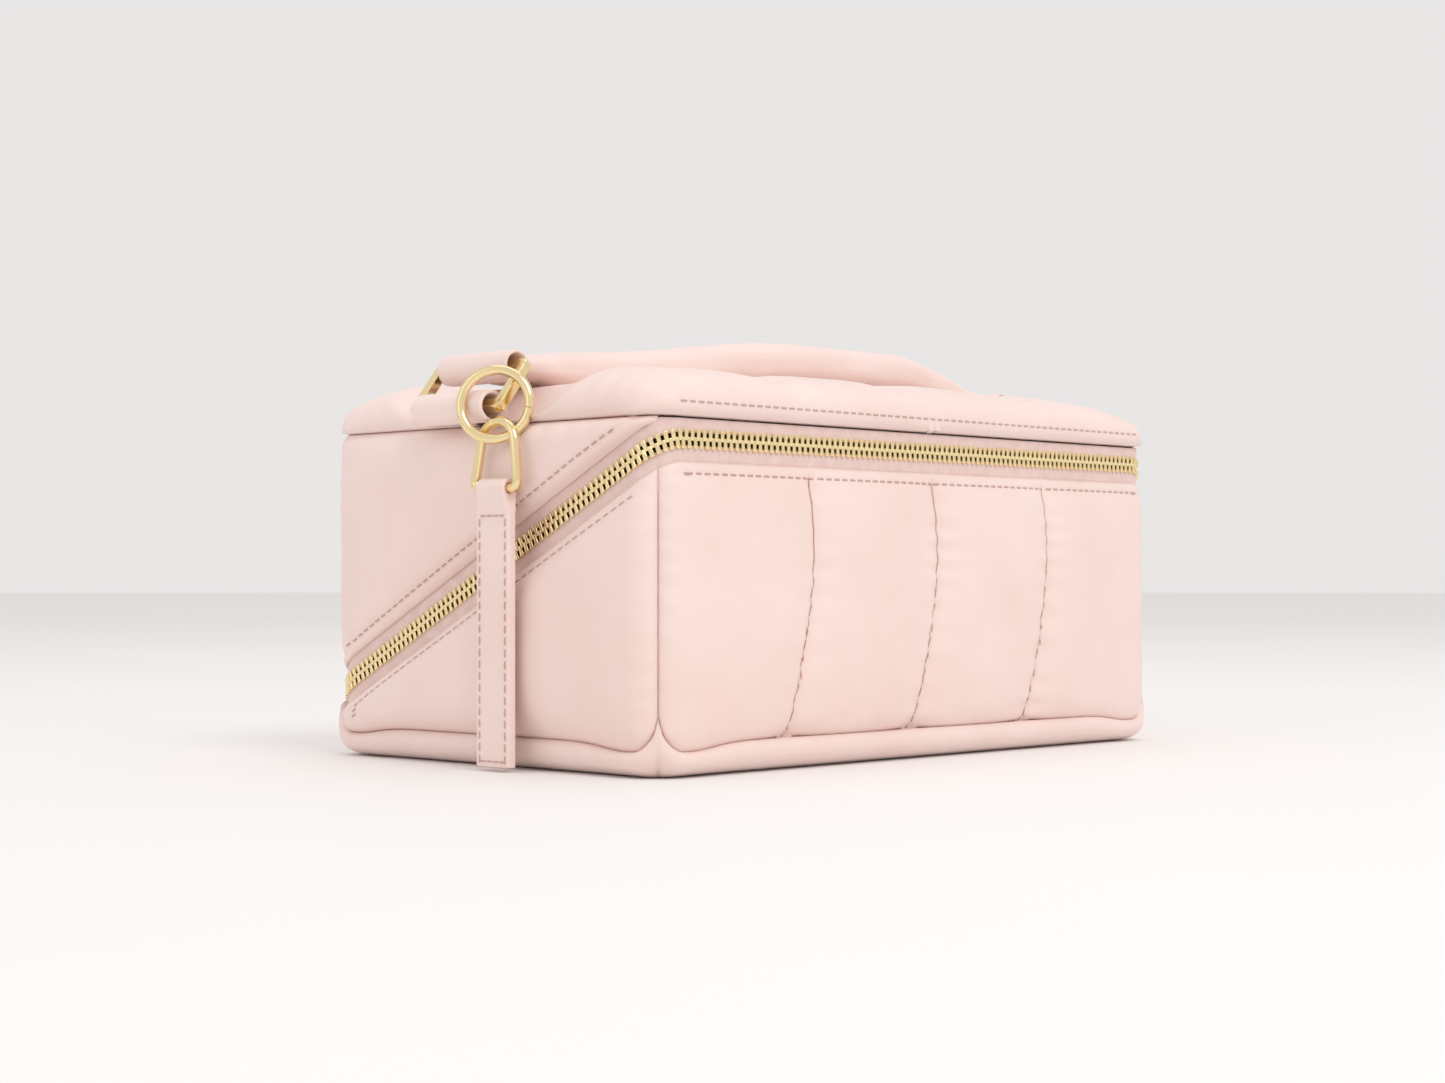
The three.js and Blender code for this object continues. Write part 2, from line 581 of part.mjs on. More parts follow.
function gripCover(side) {
  const body = toSolid(loft(gripSections(side * UPPER_X, (side * GAP) / 2, 9, 0)));
  const loop = toSolid(crossRod(LOOP_R, LOOP_WIDTH, side * UPPER_X, UPPER_Z));
  const bore = toSolid(crossRod(LOOP_HOLE_R, LOOP_WIDTH + 4, side * UPPER_X, UPPER_Z));
  const hollow = toSolid(loft(gripSections(side * (CORE_FROM_X + 1), -2 * side, 7, COVER_WALL)));
  return toGeometry(body.add(loop).subtract(bore).subtract(hollow));
}

const gripCore = (side) => loft(gripSections(side * CORE_FROM_X, (side * GAP) / 2, 7, COVER_WALL + GAP));

// ---- the charm ---------------------------------------------------------------------------------------------

// Round wire along a line of points, each with two directions square to the wire.
function wire(stationsAlong, r, sides = 8, closed = false) {
  const sections = stationsAlong.map(({ place, u, v }) =>
    steps(sides).slice(1).map((t) => {
      const turn = 2 * Math.PI * t;
      return place.clone().addScaledVector(u, r * Math.cos(turn)).addScaledVector(v, r * Math.sin(turn));
    }),
  );
  return closed ? closedLoft(sections) : loft(sections);
}

// An arc of the charm ring in its own plane, XY, in degrees.
function ringArc(from, to, count) {
  const line = steps(count).map((t) => {
    const a = rad(lerp(from, to, t));
    const u = vec(Math.cos(a), Math.sin(a), 0);
    return { place: u.clone().multiplyScalar(CHARM_RING_R), u, v: vec(0, 0, 1) };
  });
  return wire(line, CHARM_WIRE_R, 10);
}

// The gate swings inwards about its upper end, so both its ends follow circles round that point.
const gatePivot = [CHARM_RING_R * Math.cos(rad(GATE_TO)), CHARM_RING_R * Math.sin(rad(GATE_TO)), 0];
const gateReach = 2 * CHARM_RING_R * Math.sin(rad((GATE_TO - GATE_FROM) / 2));

function roundPivot(r) {
  return Manifold.cylinder(4 * CHARM_WIRE_R, r, r, 48, true).translate(gatePivot);
}

function charmGate() {
  const knuckle = Manifold.sphere(CHARM_WIRE_R, 20).translate(gatePivot);
  const arc = toSolid(ringArc(GATE_FROM - GATE_OVERRUN, GATE_TO, 6)).add(knuckle);
  return toGeometry(arc.intersect(roundPivot(gateReach)));
}

function charmRing() {
  const below = 3 * CHARM_WIRE_R - gatePivot[1];
  const freeEnd = roundPivot(gateReach + GAP).trimByPlane([0, -1, 0], below);
  const arc = toSolid(ringArc(GATE_TO, GATE_FROM + GATE_OVERRUN + 360, 26));
  return toGeometry(arc.subtract(roundPivot(CHARM_WIRE_R + GAP)).subtract(freeEnd));
}

// The D link in the YZ plane, hanging from its top: round above, straight below.

function dLink() {
  const r = LINK_CORNER_R;
  const side = LINK_WIDTH / 2 - r;
  const line = [];
  const turn = (cy, cz, radius, from, to, count) => {
    for (const t of steps(count)) {
      const a = rad(lerp(from, to, t));
      const u = vec(0, Math.cos(a), Math.sin(a));
      line.push({ place: vec(0, cy, cz).addScaledVector(u, radius), u, v: vec(1, 0, 0) });
    }
  };
  turn(0, -LINK_TOP_R, LINK_TOP_R, LINK_SHOULDER, 180 - LINK_SHOULDER, 8);
  turn(-side, -LINK_HEIGHT + r, r, 180 - LINK_SHOULDER, 270, 4);
  turn(side, -LINK_HEIGHT + r, r, 270, 360 + LINK_SHOULDER, 4);
  return wire(line, CHARM_WIRE_R, 8, true);
}

// The tag: one strip folded round the D link's straight side and stitched to itself, about that side's middle.
function tag() {
  const half = TAG_THICKNESS / 2;
  const fold = CHARM_WIRE_R + 1.7;
  const neck = fold + 5;
  const shape = new THREE.Shape();
  shape.moveTo(half, -TAG_LENGTH + fold).lineTo(half, -neck).lineTo(fold, 0).absarc(0, 0, fold, 0, Math.PI);
  shape.lineTo(-half, -neck).lineTo(-half, -TAG_LENGTH + fold);
  const hole = new THREE.Path().absarc(0, 0, CHARM_WIRE_R + GAP, 0, 2 * Math.PI);
  shape.holes.push(hole);
  return extrude(shape, TAG_WIDTH).rotateX(Math.PI / 2).translate(0, TAG_WIDTH / 2, 0);
}

// ---- the slider --------------------------------------------------------------------------------------------
// Its own frame: +X up along the zip, +Y across it, +Z out of the bag, origin in the middle of the chain.

const WING_Z = CHAIN_THICKNESS / 2 + GAP;

function sliderBody() {
  const [tail, nose, half] = [SLIDER_LENGTH / 2, -SLIDER_LENGTH / 2, SLIDER_WIDTH / 2];
  const plan = new THREE.Shape();
  plan.moveTo(tail, -half + 1.4).lineTo(tail, half - 1.4);
  plan.quadraticCurveTo(tail - 5, half - 0.8, nose + 4.4, half);
  plan.quadraticCurveTo(nose + 0.6, half, nose, 0).quadraticCurveTo(nose + 0.6, -half, nose + 4.4, -half);
  plan.quadraticCurveTo(tail - 5, -half + 0.8, tail, -half + 1.4);
  const topWing = toSolid(extrude(plan, WING, { curveSegments: 4 }).translate(0, 0, WING_Z));
  const footWing = toSolid(extrude(plan, WING, { curveSegments: 4 }).translate(0, 0, -WING_Z - WING));
  const postHeight = 2 * WING_Z + WING;
  const post = new THREE.BoxGeometry(3, 2 * (CHANNEL_HALF - GAP), postHeight).translate(nose + 3.4, 0, 0);
  const crown = new THREE.Shape();
  const windowX = CROWN_LENGTH / 2 - 1;
  const [h, top] = [CROWN_LENGTH / 2, CROWN_HEIGHT];
  crown.moveTo(-h, -0.4).lineTo(-h, top - 1.6).quadraticCurveTo(-h, top, -h + 1.6, top).lineTo(h - 1.6, top);
  crown.quadraticCurveTo(h, top, h, top - 1.6).lineTo(h, -0.4);
  crown.holes.push(rectangle(-windowX, windowX, 0.05, 2.85));
  const bridge = extrude(crown, CROWN_WIDTH, { curveSegments: 3 }).rotateX(Math.PI / 2);
  bridge.translate(0, CROWN_WIDTH / 2, WING_Z + WING);
  return toGeometry(topWing.add(footWing).add(toSolid(post)).add(toSolid(bridge)));
}

const PIVOT_Z = WING_Z + WING + 1.45; // the puller's bar, in the crown's window

// The puller about its bar: an eye that goes round the crown's foot, and a blade that tapers out.
function puller() {
  const [bar, half, end] = [PULLER_THICKNESS / 2, PULLER_WIDTH / 2, PULLER_LENGTH];
  const blade = new THREE.Shape();
  blade.moveTo(bar, -half + 0.6).lineTo(bar, half - 0.6).lineTo(-5, half - 0.6).lineTo(-8, half - 1.4);
  blade.lineTo(-end + 3.5, half).absarc(-end + half, 0, half, Math.PI / 2, 1.5 * Math.PI);
  blade.lineTo(-8, -half + 1.4);
  blade.lineTo(-5, -half + 0.6);
  blade.holes.push(rectangle(-5.4, -bar, -1.7, 1.7));
  return extrude(blade, PULLER_THICKNESS, { curveSegments: 5 }).translate(0, 0, -bar);
}

// ---- assembly ----------------------------------------------------------------------------------------------

const BACK_S = OUTLINE_LENGTH / 2;
const spans = {
  front: { s0: -CORNER_FR, s1: CORNER_FR, step: 15, channels: true },
  right_end: { s0: CORNER_FR, s1: CORNER_BR, step: 6, puff: END_PUFF },
  left_end: { s0: -CORNER_BR, s1: -CORNER_FR, step: 6, puff: END_PUFF },
  back: { s0: CORNER_BR, s1: 2 * BACK_S - CORNER_BR, step: 15, channels: true },
};

add("base_bottom_panel", bottomPanel(), LEATHER);
add("base_front_panel", panel({ side: -1, ...spans.front, puff: FRONT_PUFF }), LEATHER);
add("base_right_end_panel", panel({ side: -1, ...spans.right_end }), LEATHER);
add("base_left_end_panel", panel({ side: -1, ...spans.left_end }), LEATHER);
add("base_lining", baseLining(), LINING_CLOTH);
add("base_board", baseBoard(), BOARD_GREY);
add("base_hinge_strip", hingeHalf(-1), LEATHER);

add("lid_top_panel", topPanel(), LEATHER);
add("lid_back_panel", panel({ side: 1, ...spans.back, puff: BACK_PUFF }), LEATHER);
add("lid_right_end_panel", panel({ side: 1, ...spans.right_end }), LEATHER);
add("lid_left_end_panel", panel({ side: 1, ...spans.left_end }), LEATHER);
add("lid_lining", lidLining(), LINING_CLOTH);
add("lid_pocket", lidPocket(), LINING_CLOTH);
add("lid_hinge_strip", hingeHalf(1), LEATHER);

for (const [name, side] of [["base", -1], ["lid", 1]]) {
  add(name + "_zip_tape", tapeHalf(side), TAPE);
  add(name + "_zip_chain", chainHalf(side), GOLD);
  add(name + "_zip_stop", stop(side), GOLD);
}

for (const [name, side] of [["left", -1], ["right", 1]]) {
  add(name + "_handle_tab", tab(side), LEATHER);
  const ring = add(name + "_handle_ring", oblongRing(), GOLD);
  ring.position.set(side * TAB_X, HANDLE_Y, TAB_Z);
  ring.rotation.y = -side * LEAN;
  add("handle_cover_" + name, gripCover(side), LEATHER);
  add("handle_core_" + name, gripCore(side), CORE);
}

// The charm ring hooks round the front bar of the left oblong ring. It is built in its own plane.
const charm = new THREE.Group();
const ringAcross = vec(Math.sin(rad(90 - CHARM_AZIMUTH)), -Math.cos(rad(90 - CHARM_AZIMUTH)), 0);
const ringAway = vec(-ringAcross.y, ringAcross.x, 0);
const ringUp = vec(0, 0, Math.cos(rad(CHARM_TILT))).addScaledVector(ringAway, Math.sin(rad(CHARM_TILT)));
const ringOut = vec(0, 0, 0).crossVectors(ringAcross, ringUp);
const CHARM_CENTRE = vec(-TAB_X - 0.86, HANDLE_Y - 18.92, TAB_Z + 0.25);
charm.matrixAutoUpdate = false;
charm.matrix.makeBasis(ringAcross, ringUp, ringOut).setPosition(CHARM_CENTRE);
bag.add(charm);
add("charm_ring", charmRing(), GOLD, charm);
add("charm_ring_gate", charmGate(), GOLD, charm);

// The D link is threaded through the ring a little above its foot, and the tag hangs from the link.
const ringFoot = CHARM_CENTRE.clone().addScaledVector(ringUp, -CHARM_RING_R);
const LINK_TOP = ringFoot.clone().add(vec(0.8, -1.5, 2 * CHARM_WIRE_R + 2.7));
const linkLean = rad(LINK_LEAN);
const link = add("charm_link", dLink(), GOLD);
link.position.copy(LINK_TOP);
link.rotation.y = linkLean;
const tagTop = vec(-LINK_HEIGHT * Math.sin(linkLean), 0, -LINK_HEIGHT * Math.cos(linkLean)).add(LINK_TOP);
add("charm_tag", tag(), LEATHER).position.copy(tagTop);

// The slider parks low on the right end, and its puller hangs down the slope.
const slider = new THREE.Group();
const parked = zipAt(rightEndS(SLIDER_Y));
const sliderPlace = parked.place.clone().addScaledVector(parked.out, -TAPE_MIDDLE);
const upSlope = parked.along.clone().negate();
slider.matrixAutoUpdate = false;
const acrossSlope = vec(0, 0, 0).crossVectors(parked.out, upSlope);
slider.matrix.makeBasis(upSlope, acrossSlope, parked.out).setPosition(sliderPlace);
bag.add(slider);
add("zip_slider", sliderBody(), GOLD, slider);
add("zip_puller", puller(), GOLD, slider).position.set(0, 0, PIVOT_Z);

export default bag;
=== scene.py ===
"""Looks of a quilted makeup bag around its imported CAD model: padded leather, zip, handle and charm."""

import math

import bmesh
import bpy
import numpy as np
from mathutils import Matrix, Vector, noise
from mathutils.bvhtree import BVHTree


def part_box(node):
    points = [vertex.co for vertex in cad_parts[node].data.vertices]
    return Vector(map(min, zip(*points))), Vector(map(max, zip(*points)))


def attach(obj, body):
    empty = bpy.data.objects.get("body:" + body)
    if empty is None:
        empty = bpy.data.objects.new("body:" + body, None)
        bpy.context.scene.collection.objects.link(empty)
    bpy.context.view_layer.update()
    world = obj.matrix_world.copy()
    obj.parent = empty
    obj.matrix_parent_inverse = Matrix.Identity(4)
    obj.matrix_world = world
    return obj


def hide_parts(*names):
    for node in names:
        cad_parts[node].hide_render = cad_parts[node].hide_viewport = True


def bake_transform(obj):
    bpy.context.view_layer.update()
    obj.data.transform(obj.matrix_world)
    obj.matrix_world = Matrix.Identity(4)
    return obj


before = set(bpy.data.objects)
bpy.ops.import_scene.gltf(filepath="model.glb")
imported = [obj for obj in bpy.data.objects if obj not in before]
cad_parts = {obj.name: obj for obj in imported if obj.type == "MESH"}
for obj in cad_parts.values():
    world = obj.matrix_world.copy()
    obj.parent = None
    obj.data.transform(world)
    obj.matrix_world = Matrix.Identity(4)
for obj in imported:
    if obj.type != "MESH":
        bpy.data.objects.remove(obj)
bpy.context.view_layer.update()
MM = 0.001

# ---- dimensions shared with the CAD model, in metres ----

GAP = 0.3 * MM
HALF_L, HALF_D, CORNER_R = 127 * MM, 79 * MM, 12 * MM
BOTTOM_SEAM, TOP_SEAM = 10 * MM, 107 * MM
FRONT_PUFF, END_PUFF, BACK_PUFF = 4.5 * MM, 4.5 * MM, 3.5 * MM
CHANNEL_PITCH = 60 * MM
TOP_RISE, TOP_CHANNEL_RISE = 15.5 * MM, 3 * MM
ZIP_FRONT, ZIP_BACK = 100 * MM, 19.6 * MM
CHAIN_HALF, TOOTH_PITCH, TOOTH_DEPTH = 2.9 * MM, 2.54 * MM, 2.5 * MM
TAPE_HALF, TAPE_FACE, TAPE_THICKNESS = 13 * MM, 1.9 * MM, 0.7 * MM
PANEL_FROM_ZIP = 6.5 * MM
STITCH_FROM_EDGE = 3.7 * MM
TAPE_END_X, CHAIN_LEFT_X = 112 * MM, 116 * MM
HANDLE_Y, TAB_X, TAB_Z = 4 * MM, 133 * MM, 111.9 * MM
BAR_SPACING, RING_LEAN = 16.6 * MM, math.radians(38)
LOOP_R, LOOP_HOLE_R, LOOP_WIDTH = 5.1 * MM, 3.8 * MM, 33.4 * MM
GRIP_WIDTH, GRIP_HEIGHT, GRIP_Z = 24 * MM, 14.6 * MM, 135 * MM
SHOWN_WIRE_R, CHARM_R = 1.55 * MM, 10.9 * MM

STRAIGHT_X, STRAIGHT_Y = HALF_L - CORNER_R, HALF_D - CORNER_R
ARC = math.pi / 2 * CORNER_R
OUTLINE = 4 * (STRAIGHT_X + STRAIGHT_Y + ARC)
CORNER_FR = STRAIGHT_X + ARC / 2
CORNER_BR = STRAIGHT_X + 1.5 * ARC + 2 * STRAIGHT_Y
ZIP_SLOPE = (ZIP_BACK - ZIP_FRONT) / (2 * HALF_D)
UPPER_X = TAB_X - BAR_SPACING * math.sin(RING_LEAN)
UPPER_Z = TAB_Z + BAR_SPACING * math.cos(RING_LEAN)

# ---- the seam box and the zip's line ----


def wall_at(s):
    """Plan point, outward normal and way along at a distance s round the seam box from the front's middle."""
    s %= OUTLINE
    x, y, heading = 0.0, -HALF_D, 0.0
    sides = [STRAIGHT_X, 2 * STRAIGHT_Y, 2 * STRAIGHT_X, 2 * STRAIGHT_Y, STRAIGHT_X]
    for side in sides:
        step = min(s, side)
        x, y, s = x + step * math.cos(heading), y + step * math.sin(heading), s - step
        if s <= 0:
            break
        step = min(s, ARC)
        turned = heading + step / CORNER_R
        x += CORNER_R * (math.sin(turned) - math.sin(heading))
        y += CORNER_R * (math.cos(heading) - math.cos(turned))
        heading, s = turned, s - step
        if s <= 0:
            break
    along = Vector((math.cos(heading), math.sin(heading), 0))
    return Vector((x, y, 0)), Vector((along.y, -along.x, 0)), along


def on_wall(s, z, out):
    """A point on the wall at s and a height z, standing out of it by out."""
    point, normal, _ = wall_at(s)
    return Vector((point.x, point.y, z)) + normal * out


def zip_z(y):
    """The height of the zip's middle line."""
    return ZIP_FRONT + ZIP_SLOPE * (y + HALF_D)


def climb_at(s):
    """The angle that the zip climbs at s."""
    return math.atan(ZIP_SLOPE * wall_at(s)[2].y)


def beside_zip(s, across, out):
    """A point a distance across from the zip's middle at s, standing out of the wall by out."""
    climb = climb_at(s)
    z = zip_z(wall_at(s)[0].y) + across * math.cos(climb)
    return on_wall(s - across * math.sin(climb), z, out)


def from_zip(s, across):
    """The height on the wall at s that is a distance across from the zip's middle."""
    foot = s
    for _ in range(6):
        foot = s + across * math.sin(climb_at(foot))
    return beside_zip(foot, across, 0).z


def ease(t, lo, hi):
    """Smooth step of t from 0 at lo to 1 at hi."""
    t = min(1.0, max(0.0, (t - lo) / (hi - lo)))
    return t * t * (3 - 2 * t)


def swell(t):
    """The rise of wadding across a panel: 0 at its edges and 1 in its middle."""
    return 1 - abs(2 * t - 1) ** 4


# ---- materials ----


def colour(code):
    """A linear colour with alpha, from a hex sRGB code."""
    parts = [int(code[i : i + 2], 16) / 255 for i in (1, 3, 5)]
    return [c / 12.92 if c <= 0.04045 else ((c + 0.055) / 1.055) ** 2.4 for c in parts] + [1.0]


def add_node(tree, kind, settings=(), **inputs):
    """Adds a node with its properties, and sets or links its inputs, which are named with _ for a space."""
    made = tree.nodes.new(kind)
    for name, value in dict(settings).items():
        setattr(made, name, value)
    for name, value in inputs.items():
        socket = made.inputs[name.replace("_", " ")]
        if isinstance(value, bpy.types.NodeSocket):
            tree.links.new(value, socket)
        else:
            socket.default_value = value
    return made


def new_material(name, base, **shader):
    """A material with one shader; returns it, its tree, its shader and the coordinates that it uses."""
    made = bpy.data.materials.new(name)
    made.use_nodes = True
    tree = made.node_tree
    tree.nodes.clear()
    principled = add_node(tree, "ShaderNodeBsdfPrincipled", Base_Color=colour(base), **shader)
    out = add_node(tree, "ShaderNodeOutputMaterial")
    tree.links.new(principled.outputs[0], out.inputs[0])
    coords = add_node(tree, "ShaderNodeTexCoord").outputs["Object"]
    return made, tree, principled, coords


def vary_colour(tree, principled, fac, dark, light):
    """Takes the base colour from a ramp between two close colours."""
    ramp = add_node(tree, "ShaderNodeValToRGB", Fac=fac)
    ramp.color_ramp.elements[0].color = colour(dark)
    ramp.color_ramp.elements[1].color = colour(light)
    ramp.color_ramp.elements[0].position = 0.3
    ramp.color_ramp.elements[1].position = 0.7
    tree.links.new(ramp.outputs[0], principled.inputs["Base Color"])


def vary_roughness(tree, principled, fac, lo, hi):
    spread = add_node(tree, "ShaderNodeMapRange", Value=fac, To_Min=lo, To_Max=hi)
    tree.links.new(spread.outputs[0], principled.inputs["Roughness"])


def bump(tree, principled, layers):
    """Stacks bumps, each given as its height, its strength and its depth in metres."""
    normal = None
    for height, strength, depth in layers:
        made = add_node(tree, "ShaderNodeBump", Height=height, Strength=strength, Distance=depth)
        if normal:
            tree.links.new(normal, made.inputs["Normal"])
        normal = made.outputs[0]
    tree.links.new(normal, principled.inputs["Normal"])


def per_mm(size):
    """A texture scale whose features are about size millimetres across."""
    return 1 / (size * MM)


def leather(name, base, dark, light, rough=(0.4, 0.5)):
    """Smooth coated faux leather: a fine pebble, slow mottling and soft creases."""
    made, tree, shader, coords = new_material(name, base, Specular_IOR_Level=0.45, Sheen_Weight=0.08)
    mottle = add_node(tree, "ShaderNodeTexNoise", Vector=coords, Scale=per_mm(38), Detail=3.0)
    pebble = add_node(tree, "ShaderNodeTexVoronoi", {"feature": "SMOOTH_F1"}, Vector=coords, Scale=per_mm(0.9))
    crease = add_node(tree, "ShaderNodeTexNoise", Vector=coords, Scale=per_mm(9), Detail=4.0, Distortion=0.6)
    vary_colour(tree, shader, mottle.outputs["Fac"], dark, light)
    vary_roughness(tree, shader, mottle.outputs["Fac"], *rough)
    bump(tree, shader, [(pebble.outputs["Distance"], 0.12, 0.08 * MM), (crease.outputs["Fac"], 0.1, 0.4 * MM)])
    return made


def metal(name, base, rough, tooth=False):
    """Plated metal with faint handling marks; a chain's teeth are a little duller."""
    made, tree, shader, coords = new_material(name, base, Metallic=1.0)
    marks = add_node(tree, "ShaderNodeTexNoise", Vector=coords, Scale=per_mm(3 if tooth else 7), Detail=5.0)
    vary_roughness(tree, shader, marks.outputs["Fac"], rough * 0.8, rough * 1.3)
    bump(tree, shader, [(marks.outputs["Fac"], 0.05, 0.1 * MM)])
    return made


def woven(name, base, dark, light, pitch, coordinates="UV"):
    """Woven cloth: slanting ribs over a slow mottling. The ribs lie two pi times the pitch apart."""
    made, tree, shader, coords = new_material(name, base, Roughness=0.85, Sheen_Weight=0.25)
    if coordinates == "UV":
        coords = add_node(tree, "ShaderNodeTexCoord").outputs["UV"]
    slant = add_node(tree, "ShaderNodeMapping", Vector=coords, Rotation=(0, 0, math.radians(58)))
    scale = per_mm(pitch) / 20
    ribs = add_node(tree, "ShaderNodeTexWave", Vector=slant.outputs[0], Scale=scale, Distortion=0.4)
    warp = add_node(tree, "ShaderNodeTexWave", Vector=coords, Scale=scale, Distortion=0.3)
    mottle = add_node(tree, "ShaderNodeTexNoise", Vector=coords, Scale=per_mm(4), Detail=4.0)
    vary_colour(tree, shader, mottle.outputs["Fac"], dark, light)
    bump(tree, shader, [(ribs.outputs["Fac"], 0.5, 0.18 * MM), (warp.outputs["Fac"], 0.3, 0.1 * MM)])
    return made


# Coated faux leather of the panels, tabs, handle and tag: pale blush with broad, soft highlights.
BLUSH = leather("blush_faux_leather", "#F3DBD3", "#F1D7CF", "#F5DFD8")
# Painted shade: the same leather in a darker blush, standing for the shade deep in a quilted crease, where its
# folds shade each other.
CREASE_SHADE = leather("leather_crease_shadow", "#C99F93", "#C4998D", "#CDA599")
# Spun polyester sewing thread: darker and duller than the leather, so that the rows show.
THREAD = leather("mauve_polyester_thread", "#C9A7A0", "#C29F98", "#CFAEA7", rough=(0.55, 0.65))
# Woven polyester zip tape: matt, with coarse slanting ribs, because real ones are too fine to show.
TAPE = woven("blush_woven_zip_tape", "#E6CAC3", "#E0C2BA", "#EACFC9", 1.1)
# Woven lining cloth: matt, with closer ribs than the tape.
LINING = woven("blush_satin_lining", "#E6C7BF", "#E2C1B9", "#EACDC5", 0.4, "Object")
# Polished and gold-plated hardware: clear reflections in a pale gold.
GOLD = metal("polished_pale_gold_plating", "#F5E0AE", 0.13)
# Stamped brass zip teeth: the same pale gold, with blurred reflections.
TEETH = metal("pale_gold_brass_teeth", "#F5E2B2", 0.24, tooth=True)
# Pressed fibre board that stiffens the bottom: grey and matt.
BOARD = woven("grey_fibre_board", "#8F8A86", "#898480", "#95908C", 0.8, "Object")

# ---- making pieces ----


def new_object(name, mesh, material, body=None, replaced=()):
    """An object with its material, riding on a CAD body and standing for CAD nodes."""
    made = bpy.data.objects.new(name, mesh)
    bpy.context.scene.collection.objects.link(made)
    made.data.materials.clear()
    made.data.materials.append(material)
    mesh.polygons.foreach_set("use_smooth", [True] * len(mesh.polygons))
    if replaced:
        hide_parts(*replaced)
    if body:
        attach(made, body)
    return made


def finish_mesh(bm, name):
    """A mesh from bm, with its faces turned outwards."""
    bmesh.ops.recalc_face_normals(bm, faces=bm.faces[:])
    mesh = bpy.data.meshes.new(name)
    bm.to_mesh(mesh)
    bm.free()
    return mesh


def grid_mesh(name, points, closed_rows=False):
    """A sheet through a table of points, rows by columns."""
    bm = bmesh.new()
    rows = [[bm.verts.new(p) for p in row] for row in points]
    for upper, lower in zip(rows, rows[1:]):
        count = len(upper) if closed_rows else len(upper) - 1
        for i in range(count):
            j = (i + 1) % len(upper)
            bm.faces.new((upper[i], upper[j], lower[j], lower[i]))
    return finish_mesh(bm, name)


def bridge(bm, one, two):
    """Faces between two rings of vertices."""
    for i in range(len(one)):
        j = (i + 1) % len(one)
        bm.faces.new((one[i], one[j], two[j], two[i]))


def modify(obj, kind, **settings):
    """Adds a modifier and applies it."""
    made = obj.modifiers.new(kind.lower(), kind)
    for name, value in settings.items():
        setattr(made, name, value)
    apply_modifiers(obj)


def apply_modifiers(obj):
    graph = bpy.context.evaluated_depsgraph_get()
    baked = bpy.data.meshes.new_from_object(obj.evaluated_get(graph))
    obj.modifiers.clear()
    obj.data = baked
    baked.polygons.foreach_set("use_smooth", [True] * len(baked.polygons))


def even(lo, hi, count):
    """Values from lo to hi in a count of equal steps."""
    return [lo + (hi - lo) * i / count for i in range(count + 1)]


def wave(position, wavelength, seed):
    """A pucker's height along a seam, between -1 and 1, uneven as gathered leather is."""
    drift = noise.noise(Vector((position / (5 * wavelength), seed, 0.3)))
    strength = 0.6 + 0.7 * noise.noise(Vector((position / (2.5 * wavelength), seed, 7.7)))
    return strength * math.sin(2 * math.pi * (position / wavelength + 1.4 * drift) + seed)


def pucker(distance, position, seed, depth=0.42 * MM, reach=5.5 * MM, wavelength=8.5 * MM):
    """How far the leather is gathered at a distance from a seam."""
    near = math.exp(-((distance / reach) ** 2))
    lift = 1 - math.exp(-distance / (1.2 * MM))
    return depth * near * lift * wave(position, wavelength, seed)


def seam_dip(distance, depth=1.7 * MM, radius=1.9 * MM):
    """How far the leather turns in at a seam."""
    return -depth * math.exp(-distance / radius)


def hem_dip(distance):
    """The valley that the stitches pull in beside a turned edge."""
    return -0.75 * MM * math.exp(-(((distance - STITCH_FROM_EDGE) / (1.3 * MM)) ** 2))


def crumple(p, seed, depth=0.35 * MM):
    """Slow unevenness of the wadding."""
    return depth * noise.noise(Vector(p) / (22 * MM) + Vector((seed, 0, 0)))


# ---- padded panels ----

CHANNELS = (-CHANNEL_PITCH, 0.0, CHANNEL_PITCH)
CHANNEL_DRIFT, DRIFT_FROM_Z, DRIFT_OVER = 9 * MM, 0.068, 0.062
VALLEY_DEPTH, VALLEY_REACH = 2.7 * MM, 8 * MM
CREASE_DEPTH, CREASE_REACH = 1.3 * MM, 1.0 * MM


def channel_x(x0, z):
    """The front's channels run straight down, then lean towards the left end."""
    fall = ease(DRIFT_FROM_Z - z, 0, DRIFT_OVER)
    return x0 - CHANNEL_DRIFT * fall


def channel_dip(x, z, lean, seed):
    """The groove and the puckers of the stitched channels."""
    total = 0.0
    for k, x0 in enumerate(CHANNELS):
        apart = abs(x - (channel_x(x0, z) if lean else x0))
        total -= VALLEY_DEPTH * math.exp(-apart / VALLEY_REACH) + CREASE_DEPTH * math.exp(-apart / CREASE_REACH)
        total += pucker(apart, z, seed + 3 * k, depth=0.6 * MM, reach=8 * MM)
    return total


CORNERS = [sign * c for sign in (-1, 1) for c in (CORNER_FR, CORNER_BR)]
# A panel's turned-in edge, its gap to a seam, and the spacing of its mesh lines.
FLANGE, CLOSE, GRID = 3.5 * MM, 0.08 * MM, 1.05 * MM


def bottom_seam(s):
    """The bottom seam's height: it drops towards each corner, then turns up into the corner's seam."""
    apart = min(abs((s - c + OUTLINE / 2) % OUTLINE - OUTLINE / 2) for c in CORNERS)
    drop = 2.2 * MM * math.exp(-(((apart - 12 * MM) / (14 * MM)) ** 2))
    turn = max(0.0, 1 - apart / (9 * MM))
    return BOTTOM_SEAM - drop + 10 * MM * (1 - math.sqrt(1 - turn**2))


